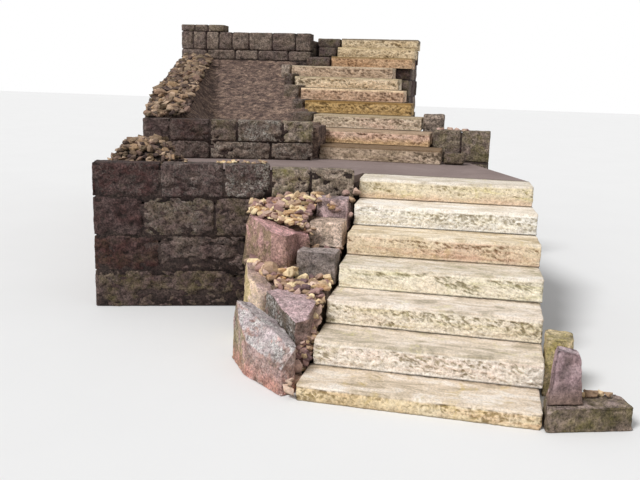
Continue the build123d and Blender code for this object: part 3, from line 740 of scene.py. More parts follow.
upper_looks = (
    ("ac9880 c4ae96 dac6ae", "725c46 887159", ("9e8c6c", 0.45), ("5c4c3a", 0.7)),
    ("d2ae96 e8c4ac f0d4bc", "a0866e b49c84", ("cca67e", 0.4), ("7a5842", 0.7), None,
     (1.215, 1.262, "d6b47c", 0.7)),
    ("c8b69c deccb4 dabca6", "a29074 b6a48a", ("b0a27e", 0.45), ("76624c", 0.7)),
    ("b4945c c8a872 d4b686", "826337 947545", ("a48248", 0.5), ("6a502e", 0.7)),
    ("c2a286 d4b496 dec2a8", "dabe9c ecd2b0", ("ba9276", 0.45), ("785a46", 0.7)),
    ("ceba98 e0ccae e6d6bc", "b09e80 c4b496", ("b8a67e", 0.45), ("7a684c", 0.7)),
    ("bca48a d0b89e dac4ac", "b8a48c ccbaa2", ("b09278", 0.45), ("745c4a", 0.7)),
    ("bc9874 ceac88 d8ba98", "836b48 977e57", ("b48860", 0.4), ("78563a", 0.7)),
    ("d0ba94 e2ceaa eadaba", "b09a76 c4b08a", ("c0a478", 0.45), ("806848", 0.7)),
    ("ccb894 deccaa e6d6b8", "6e614f 807260", ("bea278", 0.45), ("806a4c", 0.7)),
)
step_kinds = ("palette", "tread", "layers", "pit_shade", "stain", "band")
lower_cuts = (  # how deep the bowls are, how far the chips lean, their band, their least share, their size
    (0.009, 0.4, 0.5, 0.7, 0.028), (0.013, 0.7, 0.6, 0.7, 0.028), (0.013, 0.8, 0.6, 0.65, 0.028),
    (0.018, 1.5, 0.5, 0.5, 0.044), (0.013, 0.9, 0.45, 0.5, 0.032), (0.013, 0.6, 0.6, 0.65, 0.032),
    (0.012, 0.9, 0.45, 0.5, 0.030))
for index, (looks, cut) in enumerate(zip(lower_looks, lower_cuts)):
    rise = lower_rise if index else bottom_rise
    stone = step_stone(lower_length, lower_depth, rise, 0.0050, 40 + 13 * index, chip=0.011,
                       **dict(zip(step_chips, cut)))
    base = bottom_rise + (index - 1) * lower_rise if index else 0.0
    stone = moved_shell(stone, lower_shift[index], front_y + index * lower_tread, base,
                        math.radians(lower_turn[index]))
    finish = stone_finish(f"cream_sandstone_{index + 1}", shift=index * 5.3, contrast=0.2, chips=0.3,
                          shade=0.6, **dict(zip(step_kinds, looks)))
    put(f"lower_step_{index + 1}_stone", [stone], finish, [f"lower_step_{index + 1}"])

for index, looks in enumerate(upper_looks):
    left, right = upper_left_end[index], upper_right_end[index]
    stone = step_stone(right - left, upper_depth, upper_rise, 0.0070, 300 + 17 * index, big=0.012, chip=0.013,
                       shear=0.6, calm=0.7, chip_size=0.048)
    stone = moved_shell(stone, (left + right) / 2, upper_row_y(index, (left + right) / 2),
                        landing_z + index * upper_rise, math.radians(upper_turn))
    finish = stone_finish(f"ochre_sandstone_{index + 1}", shift=60 + index * 5.3, contrast=0.3, chips=0.42,
                          shade=0.65, **dict(zip(step_kinds, looks)))
    put(f"upper_step_{index + 1}_stone", [stone], finish, [f"upper_step_{index + 1}"])

# Walls: dark rock-faced blocks
dark_stone = stone_finish(
    "dark_wall_sandstone", "482f2c 5a4946 706059 847468 ac9c8d", by_tone=True, spread=0.55,
    broad=5, layers=("423834", 0.4), layer_scale=(2, 2, 12), shade=0.55, moss="7a7242", lichen="c4c0b6",
    stain=("322824", 0.5), grain=0.36, contrast=0.5, chips=0.6, soft=0.11)
wall_looks = (
    ((0.34, 0.4, 0.0, ((0.3, 1.0, 0.42, -0.02, 0.022),)), (0.3, 0.3, 0.0)),
    ((0.04, 0.15, 0.0), (0.36, 0.1, 0.1, ((0.05, 0.9, 0.34, 0.03, 0.020), (0.3, 1.0, 0.75, -0.04, 0.010))),
     (0.4, 0.3, 0.0)),
    ((0.20, 0.0, 0.0), (0.42, 0.3, 0.18), (0.46, 0.4, 0.0), (0.4, 0.2, 0.0)),
    ((0.06, 0.0, 0.12), (0.32, 0.0, 0.22), (0.30, 0.1, 0.55), (0.95, 0.95, 0.1), (1.0, 0.3, 0.0)),
)
upper_wall_looks = (
    ((0.5, 0.1, 0.1), (0.4, 0.1, 0.1), (0.74, 0.1, 0.3, ((0.1, 0.7, 0.6, 0.1, 0.014),)), (0.68, 0.1, 0.35)),
    ((0.4, 0.0, 0.2), (0.2, 0.1, 0.1), (0.6, 0.4, 0.1), (0.70, 0.2, 0.8), (0.98, 0.9, 0.1)),
)


def laid_course(joints, length, depth, height, left, front, level, turn, looks, seed, low_from=9.0, drop=0.0,
                **cut):
    """One course of blocks between its joints, each with its tone, moss and lichen, and some with ledges."""
    ends = (0.0, *joints, length)
    inner = np.array(((0.025, 0.03), (length - 0.025, 0.03), (length - 0.025, depth - 0.03),
                      (0.025, depth - 0.03)))
    mortar = body_prism(inner, (False,) * 4, 0.004 if level < 0.1 else -0.04, height - drop - 0.03)
    blocks = [moved_shell(mortar, left, front, level, turn)]
    for index in range(len(ends) - 1):
        start = ends[index] + (side_joint / 2 if index else 0)
        end = ends[index + 1] - (side_joint / 2 if index < len(ends) - 2 else 0)
        tone, moss, lichen, *broken = looks[index]
        block = rough_block(end - start, depth, height - (drop if start > low_from else 0), seed + 7 * index,
                            tone=tone, moss=moss, lichen=lichen, ledges=broken[0] if broken else (), **cut)
        block["points"] = block["points"] + np.array((start, 0, 0))
        blocks.append(moved_shell(block, left, front, level, turn))
    return blocks


def put_dark(name, shells, nodes=()):
    put(name, shells, dark_stone, nodes)


head_looks = [[(0.54 + 0.12 * (stone % 3), moss, 0.1) for stone in range(8)] for moss in (0.1, 0.1, 0.5)]
walls = {
    "lower": (wall_heights, wall_joints, (wall_length,) * 4, wall_depth, wall_left, wall_front, 0.0,
              wall_turn, wall_looks, 500, dict(drop=0.028, spacing=0.0104, fine=0.009, scoop=0.019)),
    "upper": (upper_wall_heights, upper_wall_joints, (upper_wall_length,) * 2, upper_wall_depth,
              upper_wall_left, upper_wall_front, landing_z, wall_turn, upper_wall_looks, 800,
              dict(spacing=0.0108, fine=0.008, scoop=0.018)),
    "head": (head_heights, head_joints, head_lengths, head_wall_depth, bed_flank_x, head_front_y, head_base_z,
             0.0, head_looks, 900, dict(spacing=0.018, edge=0.018)),
}
for wall, (heights, joints, lengths, depth, left, front, level, turn, looks, seed, cut) in walls.items():
    for index, height in enumerate(heights):
        blocks = laid_course(joints[index], lengths[index], depth, height, left, front, level, turn,
                             looks[index], seed + 50 * index, 1.375 if index == 3 else 9.0, **cut)
        put_dark(f"{wall}_wall_course_{index + 1}_stones", blocks, [f"{wall}_wall_course_{index + 1}"])
        level += height

# Cheek stones beside the treads
cheeks = []
cheek_tones = (0.5, 0.42, 0.68, 0.25, 0.9, 0.3, 0.35, 0.3)
for order, (width, above) in enumerate(zip(cheek_width, cheek_above)):
    index = order + cheek_first_tread
    right = upper_left_end[index] - flight_gap
    seat = landing_z + index * upper_rise - (cheek_embed if index <= 6 else 0)
    top = landing_z + (index + 1) * upper_rise + above
    row_y = upper_row_y(index, right)
    block = rough_block(width, upper_tread - cheek_joint, top - seat, 1000 + 9 * index, spacing=0.016,
                        edge=0.02, scoop=0.008, all_round=0.6, tone=cheek_tones[order], moss=0.35,
                        lichen=0.15)
    cheeks.append(moved_shell(block, right - width, row_y, seat, 0.0))
put_dark("bed_cheek_stones_rough", cheeks[:5], ["bed_cheek_stones"])
put_dark("head_cheek_stones_rough", cheeks[5:], ["head_cheek_stones"])

# Blocks right of the upper flight
side_left, side_front = upper_right_end[1] + flight_gap, upper_front_y + upper_depth + flight_gap
side_blocks = laid_course((0.289,), 0.580, side_block_depth, side_block_height, side_left, side_front,
                          landing_z, 0.0, ((0.76, 0.6, 0.1), (0.76, 0.75, 0.1)), 1100, spacing=0.014)
put_dark("side_blocks_rough", side_blocks, ["side_blocks"])
split_block = rough_block(0.226, 0.220, 0.320, 1131, edge=0.02, all_round=0.5, tone=1.0)
split_block = moved_shell(split_block, upper_right_end[2] + 0.004, side_front + upper_side_past,
                          landing_z + upper_rise, 0.0)
put_dark("upper_side_block_rough", [split_block], ["upper_side_block"])
low_side = rough_block(0.215, 0.160, 0.122, 1171, edge=0.03, all_round=0.7, tone=0.6, moss=0.5)
low_side = moved_shell(low_side, upper_right_end[0] + flight_gap, upper_front_y + 0.020, landing_z, 0.0)
put_dark("low_side_block_rough", [low_side], ["low_side_block"])

# Rockery
left_corner, right_corner = np.array((foot_left_x, front_y)), np.array((foot_right_x, front_y))


def rock_finish(name, palette, shift, **more):
    looks = dict(spread=0.9, broad=6, grain=0.3, contrast=0.36, chips=0.5, shade=0.6, soft=0.12,
                 moss="7e763e", lichen="dedad6", layer_scale=(5, 5, 5))
    return stone_finish(name, palette, shift, **(looks | more))


rock_looks = {
    "foot_boulder": dict(palette="a4847a c4a49c d8c2be", layers=("cc9480", 0.45),
                         tints=(("up", "c6babb", 0.9), ("left", "a89c74", 0.8), ("low", "dc9884", 0.6))),
    "middle_boulder": dict(palette="806b61 a0847c b8988f", layers=("867165", 0.5),
                           tints=(("up", "d4b8b9", 0.9), ("left", "6c6458", 0.85))),
    "left_boulder": dict(palette="f0ceba fee4d4 fae0dc", layers=("fad6b0", 0.45),
                         tints=(("up", "ceb2ae", 0.8), ("left", "ccb880", 0.8)), moss="c4b46a",
                         shade=0.4, contrast=0.26, chips=0.36),
    "long_boulder": dict(palette="ac8c82 c69e96 d2aea6", layers=("b88a82", 0.5),
                         tints=(("up", "f0bebc", 0.95), ("left", "9c866c", 0.85), ("low", "70644a", 0.95))),
    "inner_stone_low": dict(palette="766c68 928680 a69892", layers=("7a706c", 0.4),
                            tints=(("up", "b4a6a0", 0.9),)),
    "inner_stone_middle": dict(palette="e4c8b2 fae2ce fce8d6", layers=("c4a892", 0.4),
                               tints=(("up", "ceb6a4", 0.8),)),
    "inner_stone_high": dict(palette="ac9494 ceb4b2 dec5c1", layers=("c89da1", 0.4),
                             tints=(("up", "bca9ad", 0.8),)),
    "standing_stone": dict(palette="9c8282 b89ea0 ccb4b6", layers=("967a74", 0.4),
                           tints=(("low", "867060", 0.85), ("up", "d4c0c2", 0.85)), contrast=0.32, chips=0.36,
                           grain=0.24, spread=1.1),
    "mossy_stone": dict(palette="c6b28a e4d0a8 eedcb8", layers=("beac76", 0.5),
                        tints=(("up", "d8c8a0", 0.7),), moss="b4a462"),
    "low_block": dict(palette="5a4e44 847467 a89587", layers=("6e6652", 0.4),
                      tints=(("up", "b29f98", 0.75),), contrast=0.5, spread=1.3),
}
rocks = {
    "foot_boulder": dict(corners=((-89, 26), (-18, 105), (-40, 225), (-250, 500), (-480, 620), (-572, 530),
                                  (-395, 268)), base_z=0, crown=0.93, lean=(0, 0.010),
                         cuts=((0.332, -0.35, -0.1), (0.366, 0.59, 1.02)), seed=3, moss=0.15, lichen=1.3,
                         count=150, rings=70, soften=0.012, lichen_on="up", left_way=(-0.95, 0.1, 0.0)),
    "middle_boulder": dict(corners=((-8, 385), (4, 560), (-30, 700), (-110, 765), (-350, 800), (-412, 690),
                                    (-275, 505), (-95, 335)), base_z=0, crown=0.9, lean=(0, 0.010),
                           cuts=((0.430, -0.04, 0.0), (0.445, 0.0, 0.4)), seed=4, moss=0.1, lichen=0.9,
                           count=136, rings=70, soften=0.012, lichen_on="left", left_way=(-0.87, -0.5, 0.0)),
    "left_boulder": dict(corners=((-600, 850), (-465, 745), (-425, 750), (-362, 832), (-395, 1010),
                                  (-470, 1140), (-600, 1160), (-682, 1040)), base_z=0, crown=0.86,
                         lean=(0.010, 0.010), cuts=((0.465, -0.4, 0.15),), seed=5, moss=0.45, round_off=0.08,
                         count=130, rings=70),
    "long_boulder": dict(corners=((-315, 975), (-435, 945), (-770, 1320), (-835, 1590), (-700, 1610),
                                  (-420, 1420), (-230, 1330), (-190, 1222), (-290, 1212)), base_z=0.440,
                         crown=0.86, lean=(-0.015, 0.030), cuts=((0.325, -0.245, -0.04),), seed=6, moss=0.25,
                         splits=1, count=150, rings=60, soften=0.012),
    "inner_stone_low": dict(corners=((-283, 1040), (14, 1030), (16, 1200), (-280, 1205)), base_z=0.415,
                            crown=0.97, lean=(0, 0), cuts=((0.228, 0, 0),), seed=7, moss=0.1, lichen=0.15),
    "inner_stone_middle": dict(corners=((-290, 1405), (-13, 1395), (-19, 1640), (-285, 1645)), base_z=0.600,
                               crown=0.93, lean=(0, 0), cuts=((0.190, 0, 0),), seed=8, moss=0.2),
    "inner_stone_high": dict(corners=((-295, 1655), (-25, 1652), (-31, 1845), (-295, 1790)), base_z=0.680,
                             crown=0.93, lean=(0, 0), cuts=((0.250, 0, 0),), seed=9, moss=0.1),
}
foot_rocks = {
    "standing_stone": dict(corners=((9, 22), (215, 90), (205, 228), (10, 170)), base_z=0.140, crown=0.68,
                           lean=(-0.005, 0.010), cuts=((0.292, -0.2, 0),), seed=21, splits=3, round_off=0.14,
                           bowls=0.011),
    "mossy_stone": dict(corners=((19.5, 480), (215, 505), (226, 720), (19.5, 740)), base_z=0, crown=0.86,
                        lean=(-0.014, 0), cuts=((0.356, 0, 0),), seed=22, tone=0.3, moss=1.0),
    "low_block": dict(corners=((8, -25), (489, 145), (429, 330), (0.3, 185)), base_z=0, crown=0.985,
                      lean=(0, 0), cuts=((0.140, 0, 0),), seed=23, tone=0.25, moss=0.6),
}
rocks_plan = {}
for table, corner, shift, usual in ((rocks, left_corner, 130, {}),
                                    (foot_rocks, right_corner, 170, dict(bowls=0.008))):
    for order, (name, rock) in enumerate(table.items()):
        corners = np.array(rock.pop("corners")) / 1000 + corner
        rocks_plan[name] = corners
        squared = dict(splits=1, bowls=0.005, round_off=0.06) if name.startswith("inner") else {}
        finish = rock_finish(f"{name}_stone", shift=shift + 3.7 * order, **rock_looks[name])
        put(f"{name}_rough", [boulder(corners, **(usual | rock | squared))], finish, [name])

# Landing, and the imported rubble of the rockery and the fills
landing = stone_finish("landing_grey_stone", "786965 897975 968782", broad=2.0, spread=0.9,
                       bump=0.15, grain=0.08, shade=0.0, contrast=0.1, chips=0.08)
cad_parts["landing_slab"].data.materials.clear()
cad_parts["landing_slab"].data.materials.append(landing)
rubble = stone_finish("packed_rubble", "5c4c40 847060 ac9682", broad=18, spread=1.6,
                      grain=0.3, shade=0.3, contrast=0.5, chips=0.6, soft=0.12)
dark_soil = stone_finish("dark_soil", "483a36 725e54 a08876", broad=14, spread=1.6,
                         grain=0.4, shade=0.3, contrast=0.5, chips=0.6, soft=0.12)

# Flanks and backs: coursed facing stones in front of a mortar body
levels = [0.298, 0.578, 0.884, 1.046, 1.214, 1.418, 1.640, 1.850, 2.059, 2.260]


def plan_at(x, y, turn, points):
    return [turned(np.array((u, v, 0.0)), x, y, 0, turn)[:2] for u, v in points]


def rectangle(left, front, right, back):
    return [(left, front), (right, front), (right, back), (left, back)]


def masonry(corners, faced, low, top, seed, depth=0.15, sunk=0.0):
    """A prism of masonry: facing stones on the faced sides of a plan outline, quoined where two meet."""
    count = len(corners)
    made = [body_prism(corners, faced, low, top - sunk)]
    for side in range(count):
        if faced[side]:
            before, after = faced[side - 1], faced[(side + 1) % count]
            made += facing(corners[side], corners[(side + 1) % count], low, levels, top, seed + side,
                           even_start=depth if before else 0.0, odd_end=depth if after else 0.0, depth=depth)
    return made


lower_masonry = []
half = lower_length / 2 - core_inset
for index in range(1, 7):
    back = [(-half, 0.040), (half, 0.040), (half, 0.380), (-half, 0.380)]
    corners = plan_at(lower_shift[index], front_y + index * lower_tread, math.radians(lower_turn[index]),
                      back)
    top = bottom_rise + (index - 1) * lower_rise
    lower_masonry += masonry(corners, (False, True, False, True), 0, top, 2000 + 10 * index)
put_dark("lower_flight_masonry", lower_masonry, ["lower_flight_core"])

upper_masonry = []
for index in range(1, 10):
    left = upper_left_end[index] + (core_inset if index < 9 else -0.008)
    right = upper_right_end[index] - core_inset
    row_y = upper_row_y(index, (left + right) / 2)
    corners = rectangle(left, row_y + 0.058, right, row_y + upper_depth)
    upper_masonry += masonry(corners, (index == 7, True, index == 9, False), 0,
                             landing_z + index * upper_rise, 2200 + 10 * index)
put_dark("upper_flight_masonry", upper_masonry, ["upper_flight_core"])

wall_back = plan_at(wall_left, wall_front, wall_turn, ((0, wall_depth), (wall_length, wall_depth)))
upper_back = plan_at(upper_wall_left, upper_wall_front, wall_turn,
                     ((upper_wall_length, upper_wall_depth), (0, upper_wall_depth)))
top_row = plan_at(lower_shift[6], front_y + 6 * lower_tread, math.radians(lower_turn[6]),
                  ((-lower_length / 2 - 0.008, 0.3803), (half, 0.3803)))
terrace = [*wall_back, *top_row, (0.110, slab_back_y), (-1.374, slab_back_y), *upper_back]
put_dark("terrace_masonry", masonry(terrace, (False,) * 3 + (True,) + (False,) * 3 + (True,), 0,
                                    landing_z - slab_thickness, 2400), ["terrace_core"])

side_masonry = []
for (left, front, right, back), front_faced, top, seed, depth in (
        ((-0.285, slab_back_y, 0.295, 3.872), True, landing_z, 2500, 0.15),
        ((-0.285, 3.622, -0.198, 4.212), False, landing_z, 2530, 0.08),
        ((-0.413, 3.978, -0.198, 4.212), False, landing_z + upper_rise, 2560, 0.08)):
    side_masonry += masonry(rectangle(left, front, right, back), (front_faced, True, True, False), 0, top,
                            seed, depth)
put_dark("side_masonry", side_masonry, ["side_core"])


def bed_top(x, y):
    """The bed's height: level behind the wall, then rising beside the treads."""
    return bed_level + np.maximum(0, y - bed_slope_y) * bed_slope + 0 * x


def edge_top(x, y):
    """The top of the heap along the bed's left edge: straight between its rows up the hill."""
    rows = np.array(edge_heap_rows)
    return np.interp(y - upper_back[1][1], rows[:, 0], rows[:, 1]) + 0 * x


head_masonry = masonry(rectangle(bed_flank_x, head_front_y, head_right_x, flight_end_y),
                       (False, False, True, True), 0, head_base_z, 2600)
head_masonry += masonry(rectangle(bed_flank_x, head_back_y, head_wall_right, flight_end_y),
                        (False, True, True, True), head_base_z, head_fill_z, 2640, sunk=0.045)
for seat_front, seat_top in ((6.113, 2.126), (6.482, 2.261)):
    head_masonry += masonry(rectangle(head_wall_right, seat_front, head_right_x, flight_end_y),
                            (False, False, True, False), head_base_z, seat_top, 2660)
put_dark("head_masonry", head_masonry, ["head_core"])
p, quads = box_lattice(np.linspace(0, 1, 60), np.linspace(0, 1, 22), (0.0, 1.0))
x = bed_flank_x + 0.02 + (head_wall_right - bed_flank_x - 0.04) * p[:, 0]
y = head_back_y + 0.01 + (flight_end_y - head_back_y - 0.03) * p[:, 1]
lumps = 0.006 * rough_noise(xyz(x, y, 0), 0.12, 91) - 0.010
soil = shell(xyz(x, y, head_fill_z - 0.05 + p[:, 2] * (0.05 + lumps)), quads, tone=0.4, hollow=0.3)
put("head_fill_soil", [soil], dark_soil)

# Raised bed: its fill as one warped lattice, and facing stones along its left flank
p, quads = box_lattice(np.linspace(0, 1, 44), np.linspace(0, 1, 90), np.linspace(0, 1, 3))
edge_rows = (2.9, 3.556, 3.560, 3.930, 3.934, 4.12, 4.49, 4.86, 5.22, 5.60, head_front_y)
edge_right = (-1.374, -1.374, -1.526, -1.526, -1.66, -1.68, -1.87, -2.01, -2.19, -2.33, -2.33)
foot_x, foot_y = upper_back[1]
left_y, left_x = (foot_y, head_front_y), np.array((foot_x, bed_flank_x)) + 0.018
front_at = foot_y + (p[:, 0] * 1.58) * math.tan(wall_turn)
y = front_at + (head_front_y - front_at) * p[:, 1]
across_left = np.interp(y, left_y, left_x)
across_right = np.interp(y, edge_rows, edge_right)
x = across_left + (across_right - across_left) * p[:, 0]
y = np.maximum(y, foot_y + (x - foot_x) * math.tan(wall_turn))
soil_spot = xyz(x, y, 0)
lumps = 0.012 * rough_noise(soil_spot, 0.12, 71, 4) + 0.008 * (1 - scoops(soil_spot, 0.05, 72))
z = p[:, 2] * (bed_top(x, y) - 0.012 + lumps * (p[:, 2] > 0.9))
put("bed_fill_soil", [shell(xyz(x, y, z), quads, tone=0.4, hollow=0.3)], dark_soil, ["upper_bed_core"])
flank = facing((bed_flank_x, head_front_y), upper_back[1], 0, levels, 2.15, 2700, depth=0.12,
               ceiling=edge_top)
put_dark("bed_flank_stones", flank)

# Loose stones
pebble_finish = stone_finish("broken_sandstone", "645254 a4847c c4aa9a a68c72 e0c8a0 f0e0b4 bc986c d8c2b0",
                             by_tone=True, spread=0.10, broad=20, bump=0.5, grain=0.14, shade=0.85,
                             contrast=0.24, chips=0.24)
dull_finish = stone_finish("olive_broken_sandstone",
                           "403434 6a5a4e 98826a 6e604c baa288 50443e 887062 a48a6a", by_tone=True,
                           spread=0.10, broad=20, bump=0.5, grain=0.2, shade=0.85, contrast=0.28, chips=0.34)


def loose_stones(spots, sizes, seed, sink=0.1, **shape):
    """Broken stones lying with their lower part sunk into what carries them."""
    sizes = np.asarray(sizes)
    spots = np.column_stack([spots[:, :2], spots[:, 2] + sizes * (0.25 - sink)])
    made = pebbles(spots, sizes, seed, **shape)
    made["points"][:, 2] = np.maximum(made["points"][:, 2], 0.001)
    each = len(made["points"]) // len(spots)
    above = (made["points"][:, 2] - np.repeat(spots[:, 2], each)) / np.repeat(sizes, each)
    # Painted shade: each stone is darker towards its bottom, most where it meets what carries it
    made["marks"]["hollow"] = np.clip(0.35 - 2.6 * above, 0, 1)
    return made


def stones_over(corners, surface, spacing, size, seed, lift=0.0, spread=0.4):
    """Loose stones over a plan outline, at the height that surface(x, y) gives."""
    spots = strewn(corners, spacing, seed)
    sizes = size * np.random.default_rng(seed + 1).uniform(1 - spread, 1 + spread, len(spots))
    z = surface(spots[:, 0], spots[:, 1]) + lift
    return loose_stones(np.column_stack([spots, z]), sizes, seed + 2)


def rockery_plan(points):
    return np.array(points) / 1000 + left_corner


def wall_line(x):
    """Where the lower wall's face stands at x."""
    return wall_front + (x - wall_left) * math.tan(wall_turn)


def high_heap_top(x, y):
    """The upper bed of stones: it rises to the wall by 0.31 of the way, and falls off to its two ends."""
    across = x - foot_left_x
    return np.maximum(0.745, 0.930 - 0.31 * (wall_line(x) - y) - 0.33 * (across + 0.35) ** 2)


def low_heap_top(x, y):
    """The lower bed of stones: nearly level, a little higher towards the wall."""
    return 0.440 + 0.05 * (y - front_y - 0.85)


high_bed = rockery_plan(((-60, 1660), (-293, 1655), (-285, 1400), (-320, 1250), (-560, 1330), (-790, 1470),
                         (-800, 1625), (-300, 1795)))
low_bed = rockery_plan(((-15, 700), (-86, 722), (-238, 760), (-345, 815), (-400, 900), (-470, 1080),
                        (-330, 1010), (-290, 1030), (-15, 1020)))
high_body = rockery_plan(((-310, 1640), (-310, 1400), (-350, 1300), (-560, 1350), (-770, 1480), (-775, 1620),
                          (-320, 1780)))
low_body = low_bed + (low_bed.mean(0) - low_bed) * 0.12
stone_beds = (
    ("high_pebbles", high_bed, high_body, 0.62, high_heap_top, 3001),
    ("low_pebbles", low_bed, low_body, 0.40, low_heap_top, 3011),
)
for name, outline, packed, base_z, top, seed in stone_beds:
    body = heap(packed, base_z, lambda x, y: top(x, y) - 0.04, seed)
    lower_layer = stones_over(outline, top, 0.044, 0.066, seed + 3, -0.012)
    upper_layer = stones_over(outline, top, 0.060, 0.062, seed + 7, 0.006)
    put(name, [body, lower_layer, upper_layer], pebble_finish, flat=True)

# Small stones in the gaps between the treads, the boulders and the squared stones, and at the right foot
chance = np.random.default_rng(3020)
gap_spots = np.array([(-0.087, 0.531, 0.10), (-0.060, 0.420, 0.15), (-0.052, 0.358, 0.10),
                      (-0.051, 0.250, 0.05), (-0.051, 0.213, 0.09), (-0.030, 0.150, 0.04),
                      (-0.020, 0.300, 0.10), (-0.020, 1.235, 0.60), (-0.030, 1.330, 0.60),
                      (-0.100, 1.300, 0.60), (-0.200, 1.320, 0.60), (-0.010, 1.650, 0.80),
                      (-0.018, 1.900, 0.93), (-0.100, 1.870, 0.93), (-0.030, 1.760, 0.90)])
gap_sizes = np.array((0.09, 0.08, 0.10, 0.07, 0.09, 0.06, 0.06, 0.06,
                      0.06, 0.07, 0.06, 0.05, 0.07, 0.05, 0.05))
climb_y = np.linspace(0.30, 0.70, 130)
climb_spots = np.column_stack([chance.uniform(-0.095, 0.000, 130), climb_y,
                               0.10 + (climb_y - 0.30) * 0.82 + chance.uniform(-0.06, 0.02, 130)])
under_line = np.array(((-0.640, 1.170), (-0.560, 1.075), (-0.435, 0.925), (-0.318, 0.955), (-0.286, 1.200)))
under_at = np.linspace(0, 4, 34)
under_spots = np.column_stack([np.interp(under_at, range(5), under_line[:, 0]),
                               np.interp(under_at, range(5), under_line[:, 1]),
                               0.455 + chance.uniform(-0.015, 0.045, 34)])
tail_share = np.linspace(0, 1, 18)
tail_spots = np.column_stack([-0.335 + 0.100 * tail_share, 1.300 + 0.045 * tail_share,
                              0.785 - 0.075 * tail_share])
tail_spots = tail_spots + chance.uniform(-0.016, 0.016, tail_spots.shape)
end_spots = np.array([(-0.036, 0.017, 0.030), (-0.034, 0.030, 0.085), (-0.046, 0.085, 0.075)])
for spots in (gap_spots, climb_spots, under_spots, tail_spots, end_spots):
    spots[:, :2] += left_corner
foot_spots = np.array([(0.354, 0.245, 0.142), (0.196, 0.205, 0.142), (0.322, 0.268, 0.135),
                       (0.232, 0.262, 0.130)])
foot_spots[:, :2] += right_corner
flat_stone = rough_block(0.092, 0.060, 0.052, 1203, spacing=0.010, edge=0.016, scoop=0.010, all_round=1.0,
                         squint=0.010, tone=0.43)
gap_stones = [
    loose_stones(gap_spots, gap_sizes, 3021, 0.0, tones=(0.0, 0.5), flatten=0.8),
    loose_stones(climb_spots, chance.uniform(0.035, 0.065, 130), 3022, 0.0, tones=(0.0, 0.62), flatten=0.8),
    loose_stones(under_spots, chance.uniform(0.07, 0.105, 34), 3025, 0.0, flatten=0.9),
    loose_stones(foot_spots, (0.055, 0.05, 0.055, 0.045), 3023, 0.0, tones=(0.45, 0.9)),
    loose_stones(tail_spots, chance.uniform(0.045, 0.070, 18), 3028, 0.0),
    moved_shell(flat_stone, right_corner[0] + 0.222, right_corner[1] + 0.190, 0.132, 0.25),
    loose_stones(end_spots, (0.070, 0.045, 0.050), 3024, 0.0, tones=(0.93, 1.0), flatten=1.0, tilt=0.2),
]
put("gap_pebbles", gap_stones, pebble_finish, flat=True)

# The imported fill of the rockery: its steps as prisms, drawn in a little behind the stones that hide them
fill_low, fill_long, fill_step, fill_wall, fill_base = 0.415, 0.535, 0.600, 0.885, 0.40
wall_ends = [(x, wall_line(x) - 0.003) for x in (foot_left_x - 0.790, foot_left_x - 0.040)]
low_plan = ((-5, 705), (-110, 720), (-345, 770), (-440, 900), (-590, 1110), (-780, 1400))
high_plan = ((-40, 1430), (-305, 1430), (-585, 1465), (-780, 1500))
fill_steps = (
    ([*rockery_plan(low_plan), *wall_ends], 0, fill_low, 0.010),
    (rocks_plan["long_boulder"], fill_base, fill_long, 0.035),
    (rockery_plan(((-5, 1205), (-290, 1208), (-290, 1435), (-17, 1435))), fill_base, fill_step, 0.012),
    ([*rockery_plan(high_plan), *wall_ends], fill_base, fill_wall, 0.012),
)
fill_shells = []
for corners, low, high, inset in fill_steps:
    made = body_prism(np.array(corners)[::-1], np.ones(len(corners), bool), low, high, inset)
    if high == fill_wall:
        y, z = made["points"][:, 1], made["points"][:, 2]
        made["points"][:, 2] = np.minimum(z, 0.700 + (y - y.min()) * 0.160 / (wall_ends[1][1] - y.min()))
    fill_shells.append(made)
put("rockery_fill_rubble", fill_shells, rubble, ["rockery_fill"])

# Heap of broken stone along the bed's left edge: a warped lattice under loose stones
edge_slope = (bed_flank_x - foot_x) / (head_front_y - foot_y)
edge_width = edge_heap_width * math.hypot(1.0, edge_slope)
edge_plan = np.array(((foot_x, foot_y), (foot_x + edge_width, foot_y + edge_width * math.tan(wall_turn)),
                      (bed_flank_x + edge_width, head_front_y), (bed_flank_x, head_front_y)))
p, quads = box_lattice(np.linspace(0, 1, 20), np.linspace(0, 1, 90), np.linspace(0, 1, 3))
near = edge_plan[0] + (edge_plan[1] - edge_plan[0]) * p[:, :1]
far = edge_plan[3] + (edge_plan[2] - edge_plan[3]) * p[:, :1]
plan = near + (far - near) * p[:, 1:2]
x, y = plan.T
below = bed_top(x, y) - 0.03
above = edge_top(x, y) - 0.035 + 0.02 * rough_noise(xyz(x, y, 0), 0.15, 77, 3)
above = above + (below + 0.022 - above) * eased(0.45, 1.0, p[:, 0])
edge_points = xyz(x, y, below + (above - below) * p[:, 2])
covered = edge_plan + np.array(((0.02, -0.04), (-0.19, -0.10), (-0.13, -0.03), (0.08, -0.03)))
edge_kinds = ((0.046, 0.062, 3031, -0.025), (0.062, 0.070, 3035, -0.012), (0.120, 0.095, 3037, -0.004))
edge_layers = [stones_over(covered, edge_top, *kind) for kind in edge_kinds]
put("bed_edge_soil", [shell(edge_points, quads, tone=0.4, hollow=0.3)], dark_soil, ["bed_edge_heap"])
put("bed_edge_stones", edge_layers, dull_finish, flat=True)

# Heap of broken stone on the landing's left end: its outline drawn in to a crown, under loose stones
mound_corners = np.array(plan_at(wall_left, wall_front, wall_turn,
                                 ((0.008, 0.234), (0.640, 0.234), (0.760, 0.420), (0.600, 0.760),
                                  (0.330, 1.000), (0.160, 0.860))))
mound_middle, mound_lean = mound_corners.mean(0), np.array((-0.060, 0.020))
mound_height, mound_crown = 0.250, 0.4


def on_mound(outline, share):
    """Points at a share of the way from the mound's outline, 1, to its top, 0: up, then level."""
    climbed = np.clip((1 - share) / (1 - mound_crown), 0, 1)
    plan = mound_middle + (outline - mound_middle) * share[..., None] + mound_lean * climbed[..., None]
    return np.concatenate([plan, (landing_z + mound_height * climbed)[..., None]], -1)


